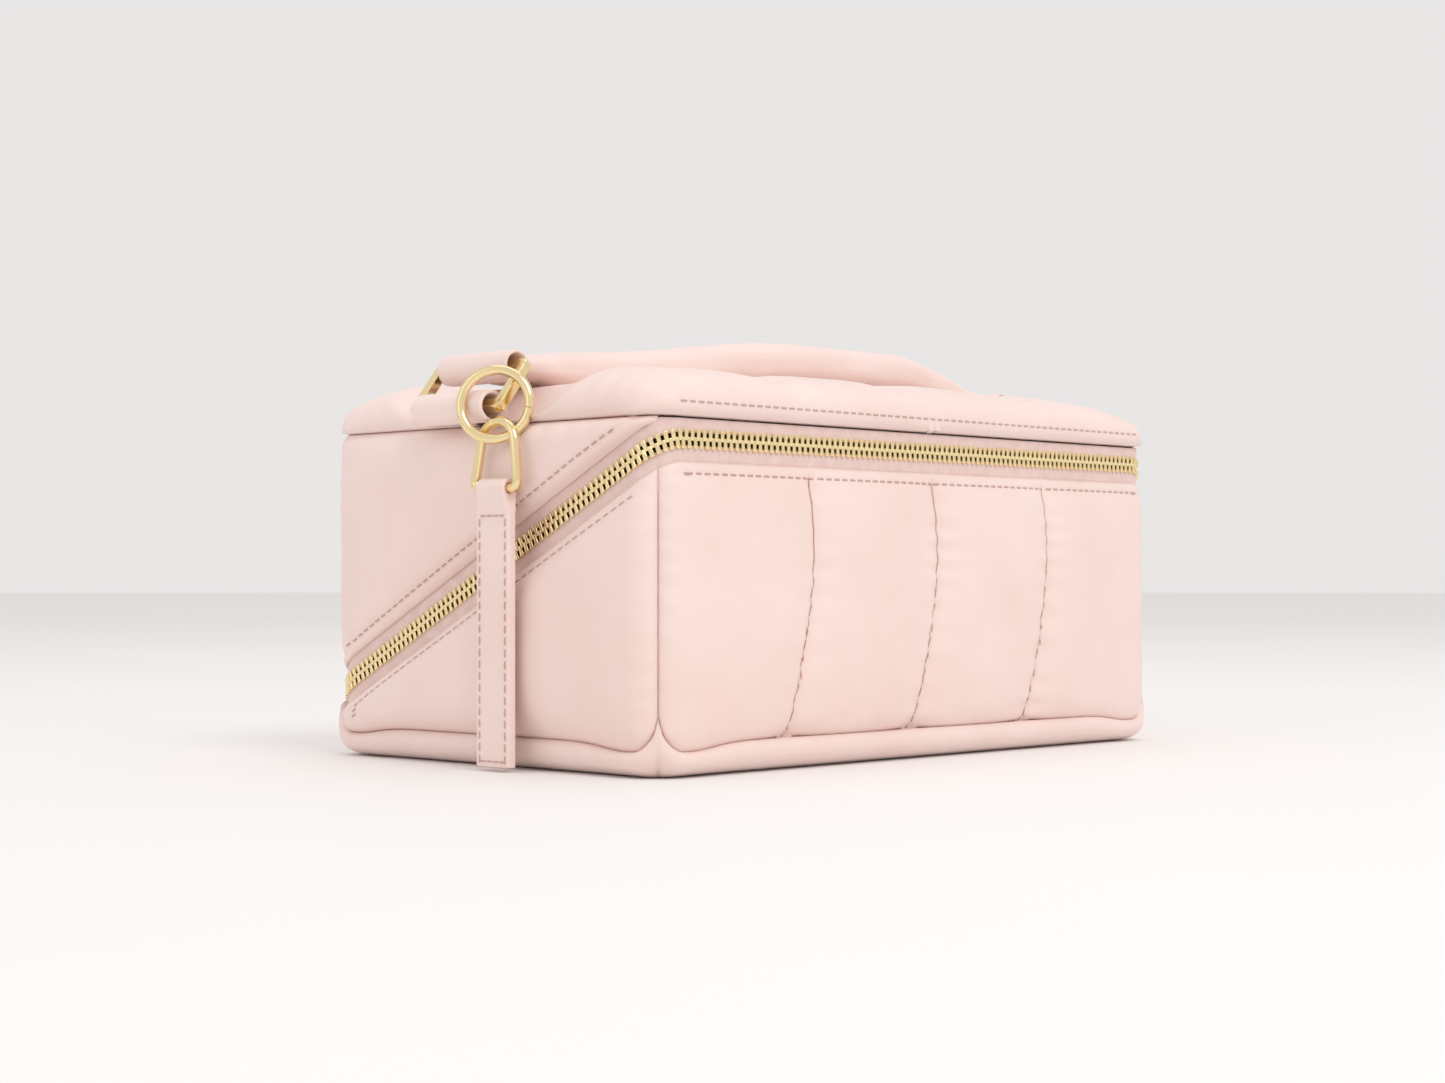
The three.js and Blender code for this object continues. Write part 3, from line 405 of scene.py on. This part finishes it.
def side_panel(name, side, s0, s1, puff, channels=False, lean=False, seed=1.0):
    """A padded wall panel between two corner seams, the zip's tape and the seam below or above it."""
    columns = even(s0 + CLOSE, s1 - CLOSE, round((s1 - s0) / GRID))
    far_edges = [bottom_seam(s) + CLOSE if side < 0 else TOP_SEAM - 0.5 * MM for s in columns]
    reach = [side * (far - from_zip(s, side * PANEL_FROM_ZIP)) for s, far in zip(columns, far_edges)]
    rows = max(10, round(max(reach) / GRID))
    points = []
    for s, far, height in zip(columns, far_edges, reach):
        height = max(height, 0.6 * MM)
        point, normal, _ = wall_at(s)
        from_corner = min(s - s0, s1 - s)
        across = swell((s - s0) / (s1 - s0))
        line = []
        for t in even(0, 1, rows):
            offset = height * t
            z = far - side * (height - offset)
            from_far = height - offset
            edge = min(from_corner, from_far, offset)
            out = puff * across * swell(t) + seam_dip(edge) + hem_dip(offset) * min(1.0, from_corner / (6 * MM))
            out += pucker(from_corner, z, seed) + pucker(from_far, s, seed + 5, depth=0.35 * MM)
            out += min(1.0, edge / (6 * MM)) * crumple((point.x, point.y, z), seed)
            if channels:
                out += min(1.0, offset / (6 * MM)) * channel_dip(point.x, z, lean, seed + 11)
            line.append(Vector((point.x, point.y, z)) + normal * out)
        line.append(Vector((point.x, point.y, far)) - normal * FLANGE)
        points.append(line)
    for end in (0, -1):
        inward = wall_at(columns[end])[1] * FLANGE
        points.insert(0 if end == 0 else len(points), [p - inward for p in points[end]])
    return grid_mesh(name, points)


def shell(name, mesh, body, node, thickness=0.5 * MM):
    """Gives a padded panel its leather's thickness."""
    made = new_object(name, mesh, BLUSH)
    modify(made, "SOLIDIFY", thickness=thickness, offset=-1.0)
    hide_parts(node)
    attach(made, body)
    return made


FRONT = (-CORNER_FR, CORNER_FR)
RIGHT = (CORNER_FR, CORNER_BR)
LEFT = (-CORNER_BR, -CORNER_FR)
BACK = (CORNER_BR, OUTLINE - CORNER_BR)

# Each panel's name, CAD node, body, side of the zip, span of the wall, puff, seed and fill.
WALLS = (
    ("front", "base_front_panel", "base", -1, FRONT, FRONT_PUFF, 1.0, 0.75),
    ("right_end", "base_right_end_panel", "base", -1, RIGHT, END_PUFF, 2.0, 0.75),
    ("left_end", "base_left_end_panel", "base", -1, LEFT, END_PUFF, 3.0, 0.75),
    ("back", "lid_back_panel", "lid", 1, BACK, BACK_PUFF, 4.0, 0.7),
    ("lid_right", "lid_right_end_panel", "lid", 1, RIGHT, END_PUFF, 5.0, 0.7),
    ("lid_left", "lid_left_end_panel", "lid", 1, LEFT, END_PUFF, 6.0, 0.7),
)
for name, node, body, side, span, puff, seed, fill in WALLS:
    quilted = name in ("front", "back")
    mesh = side_panel(name, side, *span, puff, channels=quilted, lean=name == "front", seed=seed)
    shell("padded_" + name, mesh, body, node)

# ---- the bottom and the top ----


def bottom_mesh():
    """The rolled edge of the padded bottom, up to its seam, closed underneath."""
    # Each line's share of the seam's height, and how far out it lies in millimetres.
    profile = [(1, -1.7), (0.97, -0.6), (0.9, 0.4), (0.72, 1.0), (0.55, 0.8), (0.4, 0.1)]
    profile += [(0.26, -1.3), (0.14, -3.3), (0.05, -6.2), (0.01, -9), (0, -12)]
    marks = even(0, OUTLINE, 620)[:-1]
    rows = [[on_wall(s, bottom_seam(s), -FLANGE) for s in marks]]
    for share, out in profile:
        row = []
        for s in marks:
            z = bottom_seam(s) * share
            gather = pucker(bottom_seam(s) - z, s, 9.0, depth=0.35 * MM) if share > 0.3 else 0
            row.append(on_wall(s, z, out * MM + gather))
        rows.append(row)
    foot = rows[-1]
    for shrink in (0.8, 0.55, 0.3, 0.1, 0.01):
        rows.append([Vector((p.x * shrink, p.y * shrink, 0)) for p in foot])
    return grid_mesh("bottom", rows, closed_rows=True)


shell("padded_bottom", bottom_mesh(), "base", "base_bottom_panel")


def fullness(x):
    """How far the handle has filled out from its loops: 0 to 1."""
    return ease(1 - abs(x) / UPPER_X, 0.02, 0.34)


def grip_z(x):
    """The height of the handle's middle line."""
    climb = min(ease(x, -94 * MM, 20 * MM), ease(-x, -122 * MM, -70 * MM))
    return UPPER_Z + 0.2 * MM + (GRIP_Z - UPPER_Z - 0.2 * MM) * climb


def grip_half(x):
    """The handle's half width and half height."""
    full = fullness(x)
    low = 2 * LOOP_R - 1.4 * MM
    return (LOOP_WIDTH + (GRIP_WIDTH - LOOP_WIDTH) * full) / 2, (low + (GRIP_HEIGHT - low) * full) / 2


TOP_EDGE = TOP_SEAM + 0.8 * MM


def top_rise(x, y):
    """The padded top's height above its edge: domed, with channels, and pressed down under the handle."""
    tx, ty = min(1.0, abs(x) / HALF_L), min(1.0, abs(y) / HALF_D)
    beyond = abs(x) > CHANNEL_PITCH
    across = swell((HALF_L - abs(x)) / (HALF_L - CHANNEL_PITCH) if beyond else abs(x / CHANNEL_PITCH) % 1)
    rise = TOP_RISE * (1 - tx**6) ** 0.25 * (1 - ty**4) ** 0.25
    rise += TOP_CHANNEL_RISE * across * swell((y + HALF_D) / (2 * HALF_D))
    foot = grip_z(x) - grip_half(x)[1]
    pressed = min(max(0.0, 0.95 * (HALF_L - abs(x) - 3 * MM)), foot - 0.8 * MM - TOP_EDGE)
    share = 1 - ease(abs(y - HANDLE_Y) - 26 * MM, 0, 24 * MM)
    return rise + share * (min(rise, pressed) - rise)


def half_depth(x):
    """Half the seam box's depth at x, less at its round corners."""
    beyond = max(0.0, abs(x) - STRAIGHT_X)
    return STRAIGHT_Y + math.sqrt(max(0.0, CORNER_R**2 - beyond**2))


def top_mesh():
    """The padded top, with closer lines near its turned edge, and the flange that its seam holds."""
    inset = [0, 0.2, 0.5, 0.9, 1.5, 2.3, 3.3, 4.5, 5.8, 7.2]
    xs = sorted([s * (HALF_L - d * MM) for d in inset for s in (-1, 1)] + even(-0.1186, 0.1186, 216))
    edge = [1 - d * MM / HALF_D for d in inset]
    ts = sorted([s * t for t in edge for s in (-1, 1)] + even(-0.895, 0.895, 120))
    points = []
    for x in xs:
        line = []
        for t in ts:
            y = t * half_depth(x)
            from_end, from_side = HALF_L - abs(x), half_depth(x) - abs(y)
            edge_gap = min(from_end, from_side)
            z = TOP_EDGE - 0.4 * MM + top_rise(x, t * HALF_D)
            calm = min(1.0, edge_gap / (8 * MM))
            along = x if from_side < from_end else y
            z += pucker(edge_gap + 1 * MM, along, 12.0, depth=0.6 * MM) * min(1.0, edge_gap / (1 * MM))
            z += calm * (channel_dip(x, y, False, 14.0) + crumple((x, y, z), 8.0, depth=0.5 * MM))
            line.append(Vector((x, y, max(z, TOP_SEAM - 0.2 * MM))))
        points.append([turned_in(line[0])] + line + [turned_in(line[-1])])
    first, last = [[turned_in(p) for p in points[k]] for k in (0, -1)]
    return grid_mesh("top", [first] + points + [last])


def turned_in(p):
    """Where the top's flange lies, inside and under its edge."""
    x, y = abs(p.x) - FLANGE, abs(p.y) - FLANGE
    return Vector((math.copysign(x, p.x), math.copysign(y, p.y), TOP_SEAM - 0.7 * MM))


top = shell("padded_top", top_mesh(), "lid", "lid_top_panel")

# ---- the zip ----

TAPE_END_S = CORNER_BR + ARC / 2 + STRAIGHT_X - TAPE_END_X
CHAIN_FROM = -(CORNER_BR + ARC / 2 + STRAIGHT_X - CHAIN_LEFT_X)
CHAIN_TO = STRAIGHT_X + ARC + 2 * STRAIGHT_Y
CHAIN_MIDDLE = TAPE_FACE + TAPE_THICKNESS / 2


def tape(side, body):
    """One half of the woven tape, with its length and width as UV."""
    name = body + "_woven_tape"
    marks = even(-TAPE_END_S, TAPE_END_S, 420)
    far_edge = BOTTOM_SEAM + GAP if side < 0 else TOP_SEAM - 2 * GAP
    columns = []
    for s in marks:
        room = (side * (far_edge - zip_z(wall_at(s)[0].y)) - GAP) / math.cos(climb_at(s))
        far = min(TAPE_HALF, room)
        widths = even(CHAIN_HALF - 0.9 * MM, far, 6)
        columns.append([(a, beside_zip(s, side * a, -TAPE_FACE)) for a in widths])
    mesh = grid_mesh(name, [[p for _, p in column] for column in columns])
    layer = mesh.uv_layers.new(name="UVMap")
    places = [(s, a) for s, column in zip(marks, columns) for a, _ in column]
    for loop in mesh.loops:
        layer.data[loop.index].uv = places[loop.vertex_index]
    made = new_object(name, mesh, TAPE)
    modify(made, "SOLIDIFY", thickness=TAPE_THICKNESS, offset=-1.0)
    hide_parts(body + "_zip_tape")
    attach(made, body)


def zip_frame(s, across=0.0):
    """A matrix at s: along the zip, across it upwards, and out of the bag."""
    point, out, along = wall_at(s)
    run = Vector((along.x, along.y, ZIP_SLOPE * along.y)).normalized()
    up = out.cross(run)
    place = beside_zip(s, across, -CHAIN_MIDDLE)
    return Matrix.Translation(place) @ Matrix((run, up, out)).transposed().to_4x4()


def tooth():
    """One tooth on the upper side: a foot crimped on the tape and a cupped head past the middle."""
    bm = bmesh.new()
    bmesh.ops.create_cube(bm, size=1)
    for v in bm.verts:
        head = v.co.y < 0
        v.co.x *= (1.22 if head else 1.5) * MM
        v.co.y = (-0.55 if head else CHAIN_HALF / MM) * MM
        v.co.z *= (TOOTH_DEPTH / MM - (0.3 if head else 0.0)) * MM
    bmesh.ops.bevel(
        bm, geom=bm.edges[:] + bm.verts[:], offset=0.28 * MM, segments=2, affect="EDGES", profile=0.5, material=-1
    )
    return finish_mesh(bm, "tooth")


def scatter(name, shape, places, material, body):
    """One piece made of many copies of a small mesh, each at its own matrix."""
    corners = np.array([v.co for v in shape.vertices])
    faces = [tuple(p.vertices) for p in shape.polygons]
    verts, polys = [], []
    for k, place in enumerate(places):
        m = np.array(place)
        verts.append(corners @ m[:3, :3].T + m[:3, 3])
        polys += [tuple(i + k * len(corners) for i in f) for f in faces]
    mesh = bpy.data.meshes.new(name)
    mesh.from_pydata(np.concatenate(verts).tolist(), [], polys)
    return new_object(name, mesh, material, body)


def along_zip(pitch, start, end, shift=0.0):
    """Distances round the outline, a pitch apart along the sloping zip."""
    s, made = start + shift, []
    while s < end:
        made.append(s)
        s += pitch * math.cos(climb_at(s))
    return made


def teeth(side, body):
    """One side's row of teeth, half a pitch off the other's."""
    shift = 0.0 if side > 0 else TOOTH_PITCH / 2
    turn = Matrix.Diagonal((1, side, 1, 1)) if side > 0 else Matrix.Rotation(math.pi, 4, "Z")
    places = [zip_frame(s) @ turn for s in along_zip(TOOTH_PITCH, CHAIN_FROM, CHAIN_TO, shift)]
    made = scatter(body + "_zip_teeth", tooth(), places, TEETH, body)
    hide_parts(body + "_zip_chain")


for side, body in ((-1, "base"), (1, "lid")):
    tape(side, body)
    teeth(side, body)

# ---- stitches ----

STITCH, STITCH_GAP, THREAD_R = 2.7 * MM, 0.9 * MM, 0.3 * MM
PROBE_FROM_Y = 0.12


def stitch(radius=THREAD_R, stretch=1.0):
    """One stitch of thread: a short rounded bar whose ends dip."""
    bm = bmesh.new()
    rings = []
    for t in (-1, -0.8, -0.35, 0.35, 0.8, 1):
        r = radius * (0.45 if abs(t) == 1 else 1.0)
        sink = -0.28 * MM * t**4
        x = t * stretch * STITCH / 2
        ring = [(x, r * math.cos(a), sink + r * math.sin(a)) for a in even(0, 2 * math.pi, 8)[:-1]]
        rings.append([bm.verts.new(p) for p in ring])
    for one, two in zip(rings, rings[1:]):
        bridge(bm, one, two)
    bm.faces.new(rings[0])
    bm.faces.new(rings[-1])
    return finish_mesh(bm, "stitch")


def surface_of(obj):
    graph = bpy.context.evaluated_depsgraph_get()
    return BVHTree.FromObject(obj, graph)


def stitch_places(tree, probes, lift=0.1 * MM):
    """Stitch matrices on a surface, from probes: a start, a way to look and the way along the seam."""
    made = []
    for start, direction, along in probes:
        hit, normal, _, _ = tree.ray_cast(start, direction)
        if hit is None:
            continue
        if normal.dot(direction) > 0:
            normal = -normal
        run = (along - normal * along.dot(normal)).normalized()
        m = Matrix((run, normal.cross(run), normal)).transposed().to_4x4()
        made.append(Matrix.Translation(hit + normal * lift) @ m)
    return made


def edge_probes(side, s0, s1):
    """Probes along a panel's edge beside the zip."""
    across = side * (PANEL_FROM_ZIP + STITCH_FROM_EDGE)
    made = []
    for s in along_zip(STITCH + STITCH_GAP, s0 + 4 * MM, s1 - 3 * MM):
        _, out, along = wall_at(s)
        run = Vector((along.x, along.y, ZIP_SLOPE * along.y))
        foot = beside_zip(s, across, 20 * MM)
        if side > 0 and foot.z > TOP_SEAM - 4 * MM:
            continue
        made.append((foot, -out, run))
    return made


def top_probes():
    """Probes along the top's rolled front lip."""
    z = TOP_EDGE + 3.2 * MM
    marks = np.arange(-0.116, 0.117, STITCH + STITCH_GAP)
    return [(Vector((x, -PROBE_FROM_Y, z)), Vector((0, 1, 0)), Vector((1, 0, 0))) for x in marks]


def crease_probes(toward, lean, z0, z1):
    """Probes down the front's or the back's channels."""
    made = []
    for x0 in CHANNELS:
        for z in np.arange(z0, z1, STITCH):
            x, above = [channel_x(x0, h) if lean else x0 for h in (z, z + MM)]
            start = Vector((x, -PROBE_FROM_Y * toward, z))
            made.append((start, Vector((0, toward, 0)), Vector((above - x, 0, MM))))
    return made


SEAMS = {
    "base": [("padded_front", -1, FRONT), ("padded_right_end", -1, RIGHT), ("padded_left_end", -1, LEFT)],
    "lid": [("padded_lid_right", 1, RIGHT), ("padded_lid_left", 1, LEFT)],
}
for body, runs in SEAMS.items():
    places = []
    for name, side, (s0, s1) in runs:
        places += stitch_places(surface_of(bpy.data.objects[name]), edge_probes(side, s0, s1))
    if body == "lid":
        places += stitch_places(surface_of(top), top_probes())
    scatter(body + "_edge_stitches", stitch(), places, THREAD, body)

# Thin dark lines of painted shade down the front's and the back's quilted channels, made of the darker
# crease-shade leather.
for name, body, toward, lean, z0, z1 in (
    ("padded_front", "base", 1, True, 11 * MM, 91 * MM),
    ("padded_back", "lid", -1, False, 34 * MM, 105 * MM),
):
    probes = crease_probes(toward, lean, z0, z1)
    line = stitch_places(surface_of(bpy.data.objects[name]), probes, 0.05 * MM)
    scatter(name + "_creases", stitch(0.2 * MM, 1.5), line, CREASE_SHADE, body)

# ---- the handle ----


TUBE_SIDES, GRIP_SIDES, GRIP_SQUARENESS = 40, 36, 0.8


def tube_mesh(bm, radius, hole, length, x, z):
    """A hollow tube along Y, round a ring's bar."""
    turns = even(0, 2 * math.pi, TUBE_SIDES)[:-1]
    rings = []
    for y, r in ((-length / 2, hole), (-length / 2, radius), (length / 2, radius), (length / 2, hole)):
        rings.append([bm.verts.new((x + r * math.cos(a), HANDLE_Y + y, z + r * math.sin(a))) for a in turns])
    for one, two in zip(rings, rings[1:] + rings[:1]):
        bridge(bm, one, two)


def handle_mesh():
    """The grip and its two loops, as overlapping closed shapes."""
    bm = bmesh.new()
    reach = UPPER_X - LOOP_HOLE_R - 0.5 * MM
    rings = []
    for x in even(-reach, reach, 90):
        wide, high = grip_half(x)
        ring = []
        for a in even(0, 2 * math.pi, GRIP_SIDES)[:-1]:
            c, s = math.cos(a), math.sin(a)
            y = math.copysign(abs(c) ** GRIP_SQUARENESS, c) * wide
            z = math.copysign(abs(s) ** GRIP_SQUARENESS, s) * high
            ring.append(bm.verts.new((x, HANDLE_Y + y, grip_z(x) + z)))
        rings.append(ring)
    for one, two in zip(rings, rings[1:]):
        bridge(bm, one, two)
    bm.faces.new(rings[0])
    bm.faces.new(rings[-1])
    for side in (-1, 1):
        tube_mesh(bm, LOOP_R, LOOP_HOLE_R, LOOP_WIDTH, side * UPPER_X, UPPER_Z)
    return finish_mesh(bm, "handle")


def gather_handle(obj):
    """Puckers beside the cross stitches near each loop, and a shallow seam along the underside."""
    for v in obj.data.vertices:
        x, y, z = v.co
        axis = Vector((0, y - HANDLE_Y, z - grip_z(x)))
        if abs(x) > UPPER_X - 7 * MM or axis.length < 1e-5:
            continue
        around = math.atan2(axis.z, axis.y)
        apart = abs(abs(x) - (UPPER_X - 15 * MM))
        out = -0.9 * MM * math.exp(-((apart / (2.2 * MM)) ** 2))
        out += 0.35 * MM * math.exp(-((apart / (9 * MM)) ** 2)) * wave(around * 9 * MM, 6 * MM, 3.0)
        under = abs(around + math.pi / 2) * axis.length
        out -= 0.8 * MM * math.exp(-under / (1.3 * MM))
        out += 0.45 * MM * noise.noise(Vector((x / (13 * MM), around * 1.2, 4.0)))
        v.co += axis.normalized() * out


handle = new_object("padded_handle", handle_mesh(), BLUSH)
modify(handle, "REMESH", mode="VOXEL", voxel_size=0.9 * MM)
modify(handle, "SMOOTH", factor=0.5, iterations=3)
gather_handle(handle)
modify(handle, "SUBSURF", levels=1, render_levels=1)
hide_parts("handle_cover_left", "handle_cover_right", "handle_core_left", "handle_core_right")
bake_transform(handle)


def soft_copy(node, name, passes, body):
    """A rounded copy of a CAD node, for small leather pieces."""
    made = new_object(name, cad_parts[node].data.copy(), BLUSH)
    modify(made, "REMESH", mode="VOXEL", voxel_size=0.5 * MM)
    modify(made, "SMOOTH", factor=0.5, iterations=passes)
    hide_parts(node)
    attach(made, body)
    return made


soft_copy("left_handle_tab", "left_leather_tab", 4, "lid")
soft_copy("right_handle_tab", "right_leather_tab", 4, "lid")
tag = soft_copy("charm_tag", "leather_tag", 3, "charm_tag")
tag_low, tag_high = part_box("charm_tag")
for v in tag.data.vertices:
    neck = ease(v.co.z, tag_high.z - 12 * MM, tag_high.z - 4 * MM)
    middle = (tag_low.y + tag_high.y) / 2
    v.co.y = middle + (v.co.y - middle) * (1 - 0.16 * neck)

# ---- the tag's stitches ----


def tag_probes():
    """Probes down both long edges of the tag and across its ends, from outside."""
    low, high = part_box("charm_tag")
    middle, inset, away = (low.x + high.x) / 2, 1.7 * MM, 20 * MM
    down, across = Vector((0, 0, -1)), Vector((0, 1, 0))
    rows = []
    for y in (low.y + inset, high.y - inset):
        rows += [(y, z, down) for z in np.arange(low.z + 2.4 * MM, high.z - 11 * MM, STITCH + STITCH_GAP)]
    for z in (low.z + inset, high.z - 11.5 * MM):
        rows += [(y, z, across) for y in np.arange(low.y + 3.2 * MM, high.y - 1.8 * MM, 2.9 * MM)]
    made = []
    for y, z, along in rows:
        for side in (-1, 1):
            made.append((Vector((middle + side * away, y, z)), Vector((-side, 0, 0)), along))
    return made


tag_tree = surface_of(tag)
scatter("tag_stitches", stitch(), stitch_places(tag_tree, tag_probes()), THREAD, "charm_tag")

# ---- hardware ----


def wire(name, points, radius, body, node, cyclic):
    """Round wire along points, as a curve with a full bevel."""
    line = bpy.data.curves.new(name, "CURVE")
    line.dimensions = "3D"
    line.bevel_depth = radius
    line.bevel_resolution = 6
    line.use_fill_caps = True
    spline = line.splines.new("POLY")
    spline.points.add(len(points) - 1)
    for place, point in zip(spline.points, points):
        place.co = (*point, 1)
    spline.use_cyclic_u = cyclic
    spline.use_smooth = True
    made = bpy.data.objects.new(name, line)
    bpy.context.scene.collection.objects.link(made)
    line.materials.append(GOLD)
    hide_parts(node)
    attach(made, body)
    return made


def ring_basis():
    """The charm ring's centre and the two directions of its plane."""
    across = Vector((math.cos(math.radians(56.4)), -math.sin(math.radians(56.4)), 0))
    away = Vector((-across.y, across.x, 0))
    tilt = math.radians(9.6)
    up = Vector((0, 0, math.cos(tilt))) + away * math.sin(tilt)
    centre = Vector((-TAB_X - 0.86 * MM, HANDLE_Y - 18.92 * MM, TAB_Z + 0.25 * MM))
    return centre, across, up


def ring_points(start, end, count):
    """Points round the charm ring between two angles in degrees."""
    centre, across, up = ring_basis()
    turns = [math.radians(a) for a in even(start, end, count)]
    return [centre + (across * math.cos(a) + up * math.sin(a)) * CHARM_R for a in turns]


def link_points():
    """The D link: round at its top, with two spread sides and a straight foot."""
    centre, _, up = ring_basis()
    origin = centre - up * CHARM_R + Vector((0.8, -1.5, 5.5)) * MM
    top_r, corner, half, height, shoulder = 7.9, 2.2, 9.7, 20.6, 7
    arcs = [(0, -top_r, top_r, shoulder, 180 - shoulder, 24)]
    arcs.append((-(half - corner), -height + corner, corner, 180 - shoulder, 270, 10))
    arcs.append((half - corner, -height + corner, corner, 270, 360 + shoulder, 10))
    lean = Matrix.Rotation(math.radians(3), 4, "Y")
    made = []
    for y, z, r, start, end, count in arcs:
        for a in even(math.radians(start), math.radians(end), count):
            made.append(origin + lean @ (Vector((0, y + r * math.cos(a), z + r * math.sin(a))) * MM))
    return made


wire("gold_charm_ring", ring_points(-5.8, 296.6, 120), SHOWN_WIRE_R, "charm_ring", "charm_ring", False)
wire("gold_ring_gate", ring_points(-61.8, -7.8, 24), SHOWN_WIRE_R, "charm_gate", "charm_ring_gate", False)
wire("gold_d_link", link_points(), SHOWN_WIRE_R, "charm_link", "charm_link", True)

FINISHES = {
    "left_handle_ring": GOLD,
    "right_handle_ring": GOLD,
    "zip_slider": GOLD,
    "zip_puller": GOLD,
    "base_zip_stop": TEETH,
    "lid_zip_stop": TEETH,
    "base_hinge_strip": BLUSH,
    "lid_hinge_strip": BLUSH,
    "base_lining": LINING,
    "lid_lining": LINING,
    "lid_pocket": LINING,
    "base_board": BOARD,
}
for name, material in FINISHES.items():
    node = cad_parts[name]
    node.data.materials.clear()
    node.data.materials.append(material)

# ---- studio ----


def studio_floor():
    bm = bmesh.new()
    bmesh.ops.create_circle(bm, cap_ends=True, segments=96, radius=9.0)
    made, tree, shader, coords = new_material("matt_pale_floor", "#F4F2F1", Roughness=0.7)
    patches = add_node(tree, "ShaderNodeTexNoise", Vector=coords, Scale=3.0, Detail=2.0)
    vary_colour(tree, shader, patches.outputs["Fac"], "#F3F1F0", "#F5F3F2")
    floor = new_object("studio_floor", finish_mesh(bm, "studio_floor"), made)


def area_light(name, place, target, size, power):
    """A soft white light that faces a target."""
    lamp = bpy.data.lights.new(name, "AREA")
    lamp.energy, lamp.size = power, size
    made = bpy.data.objects.new(name, lamp)
    made.location = place
    made.rotation_euler = (Vector(target) - Vector(place)).to_track_quat("-Z", "Y").to_euler()
    bpy.context.scene.collection.objects.link(made)


def studio_world():
    world = bpy.data.worlds.new("studio_world")
    world.use_nodes = True
    bpy.context.scene.world = world
    back = world.node_tree.nodes["Background"]
    back.inputs["Color"].default_value = colour("#FBF9F8")
    back.inputs["Strength"].default_value = 0.84
    bpy.context.scene.view_settings.view_transform = "Standard"


def studio_camera():
    lens = bpy.data.cameras.new("camera")
    lens.sensor_width, lens.lens, lens.shift_y = 36.0, 59.8, 0.0253
    lens.clip_start, lens.clip_end = 0.02, 30
    made = bpy.data.objects.new("camera", lens)
    made.location = (-0.6137, -0.5755, 0.059)
    made.rotation_euler = Vector((0.719, 0.695, 0)).to_track_quat("-Z", "Y").to_euler()
    bpy.context.scene.collection.objects.link(made)
    bpy.context.scene.camera = made


studio_floor()
studio_world()
studio_camera()
area_light("key_softbox", (-0.3, -1.3, 1.5), (0, 0, 0.06), size=0.8, power=9.5)
area_light("fill_softbox", (-1.6, 0.2, 0.9), (0, 0, 0.08), size=1.0, power=1.2)
area_light("top_softbox", (0.3, 0.3, 1.8), (0, 0, 0), size=1.2, power=3.2)
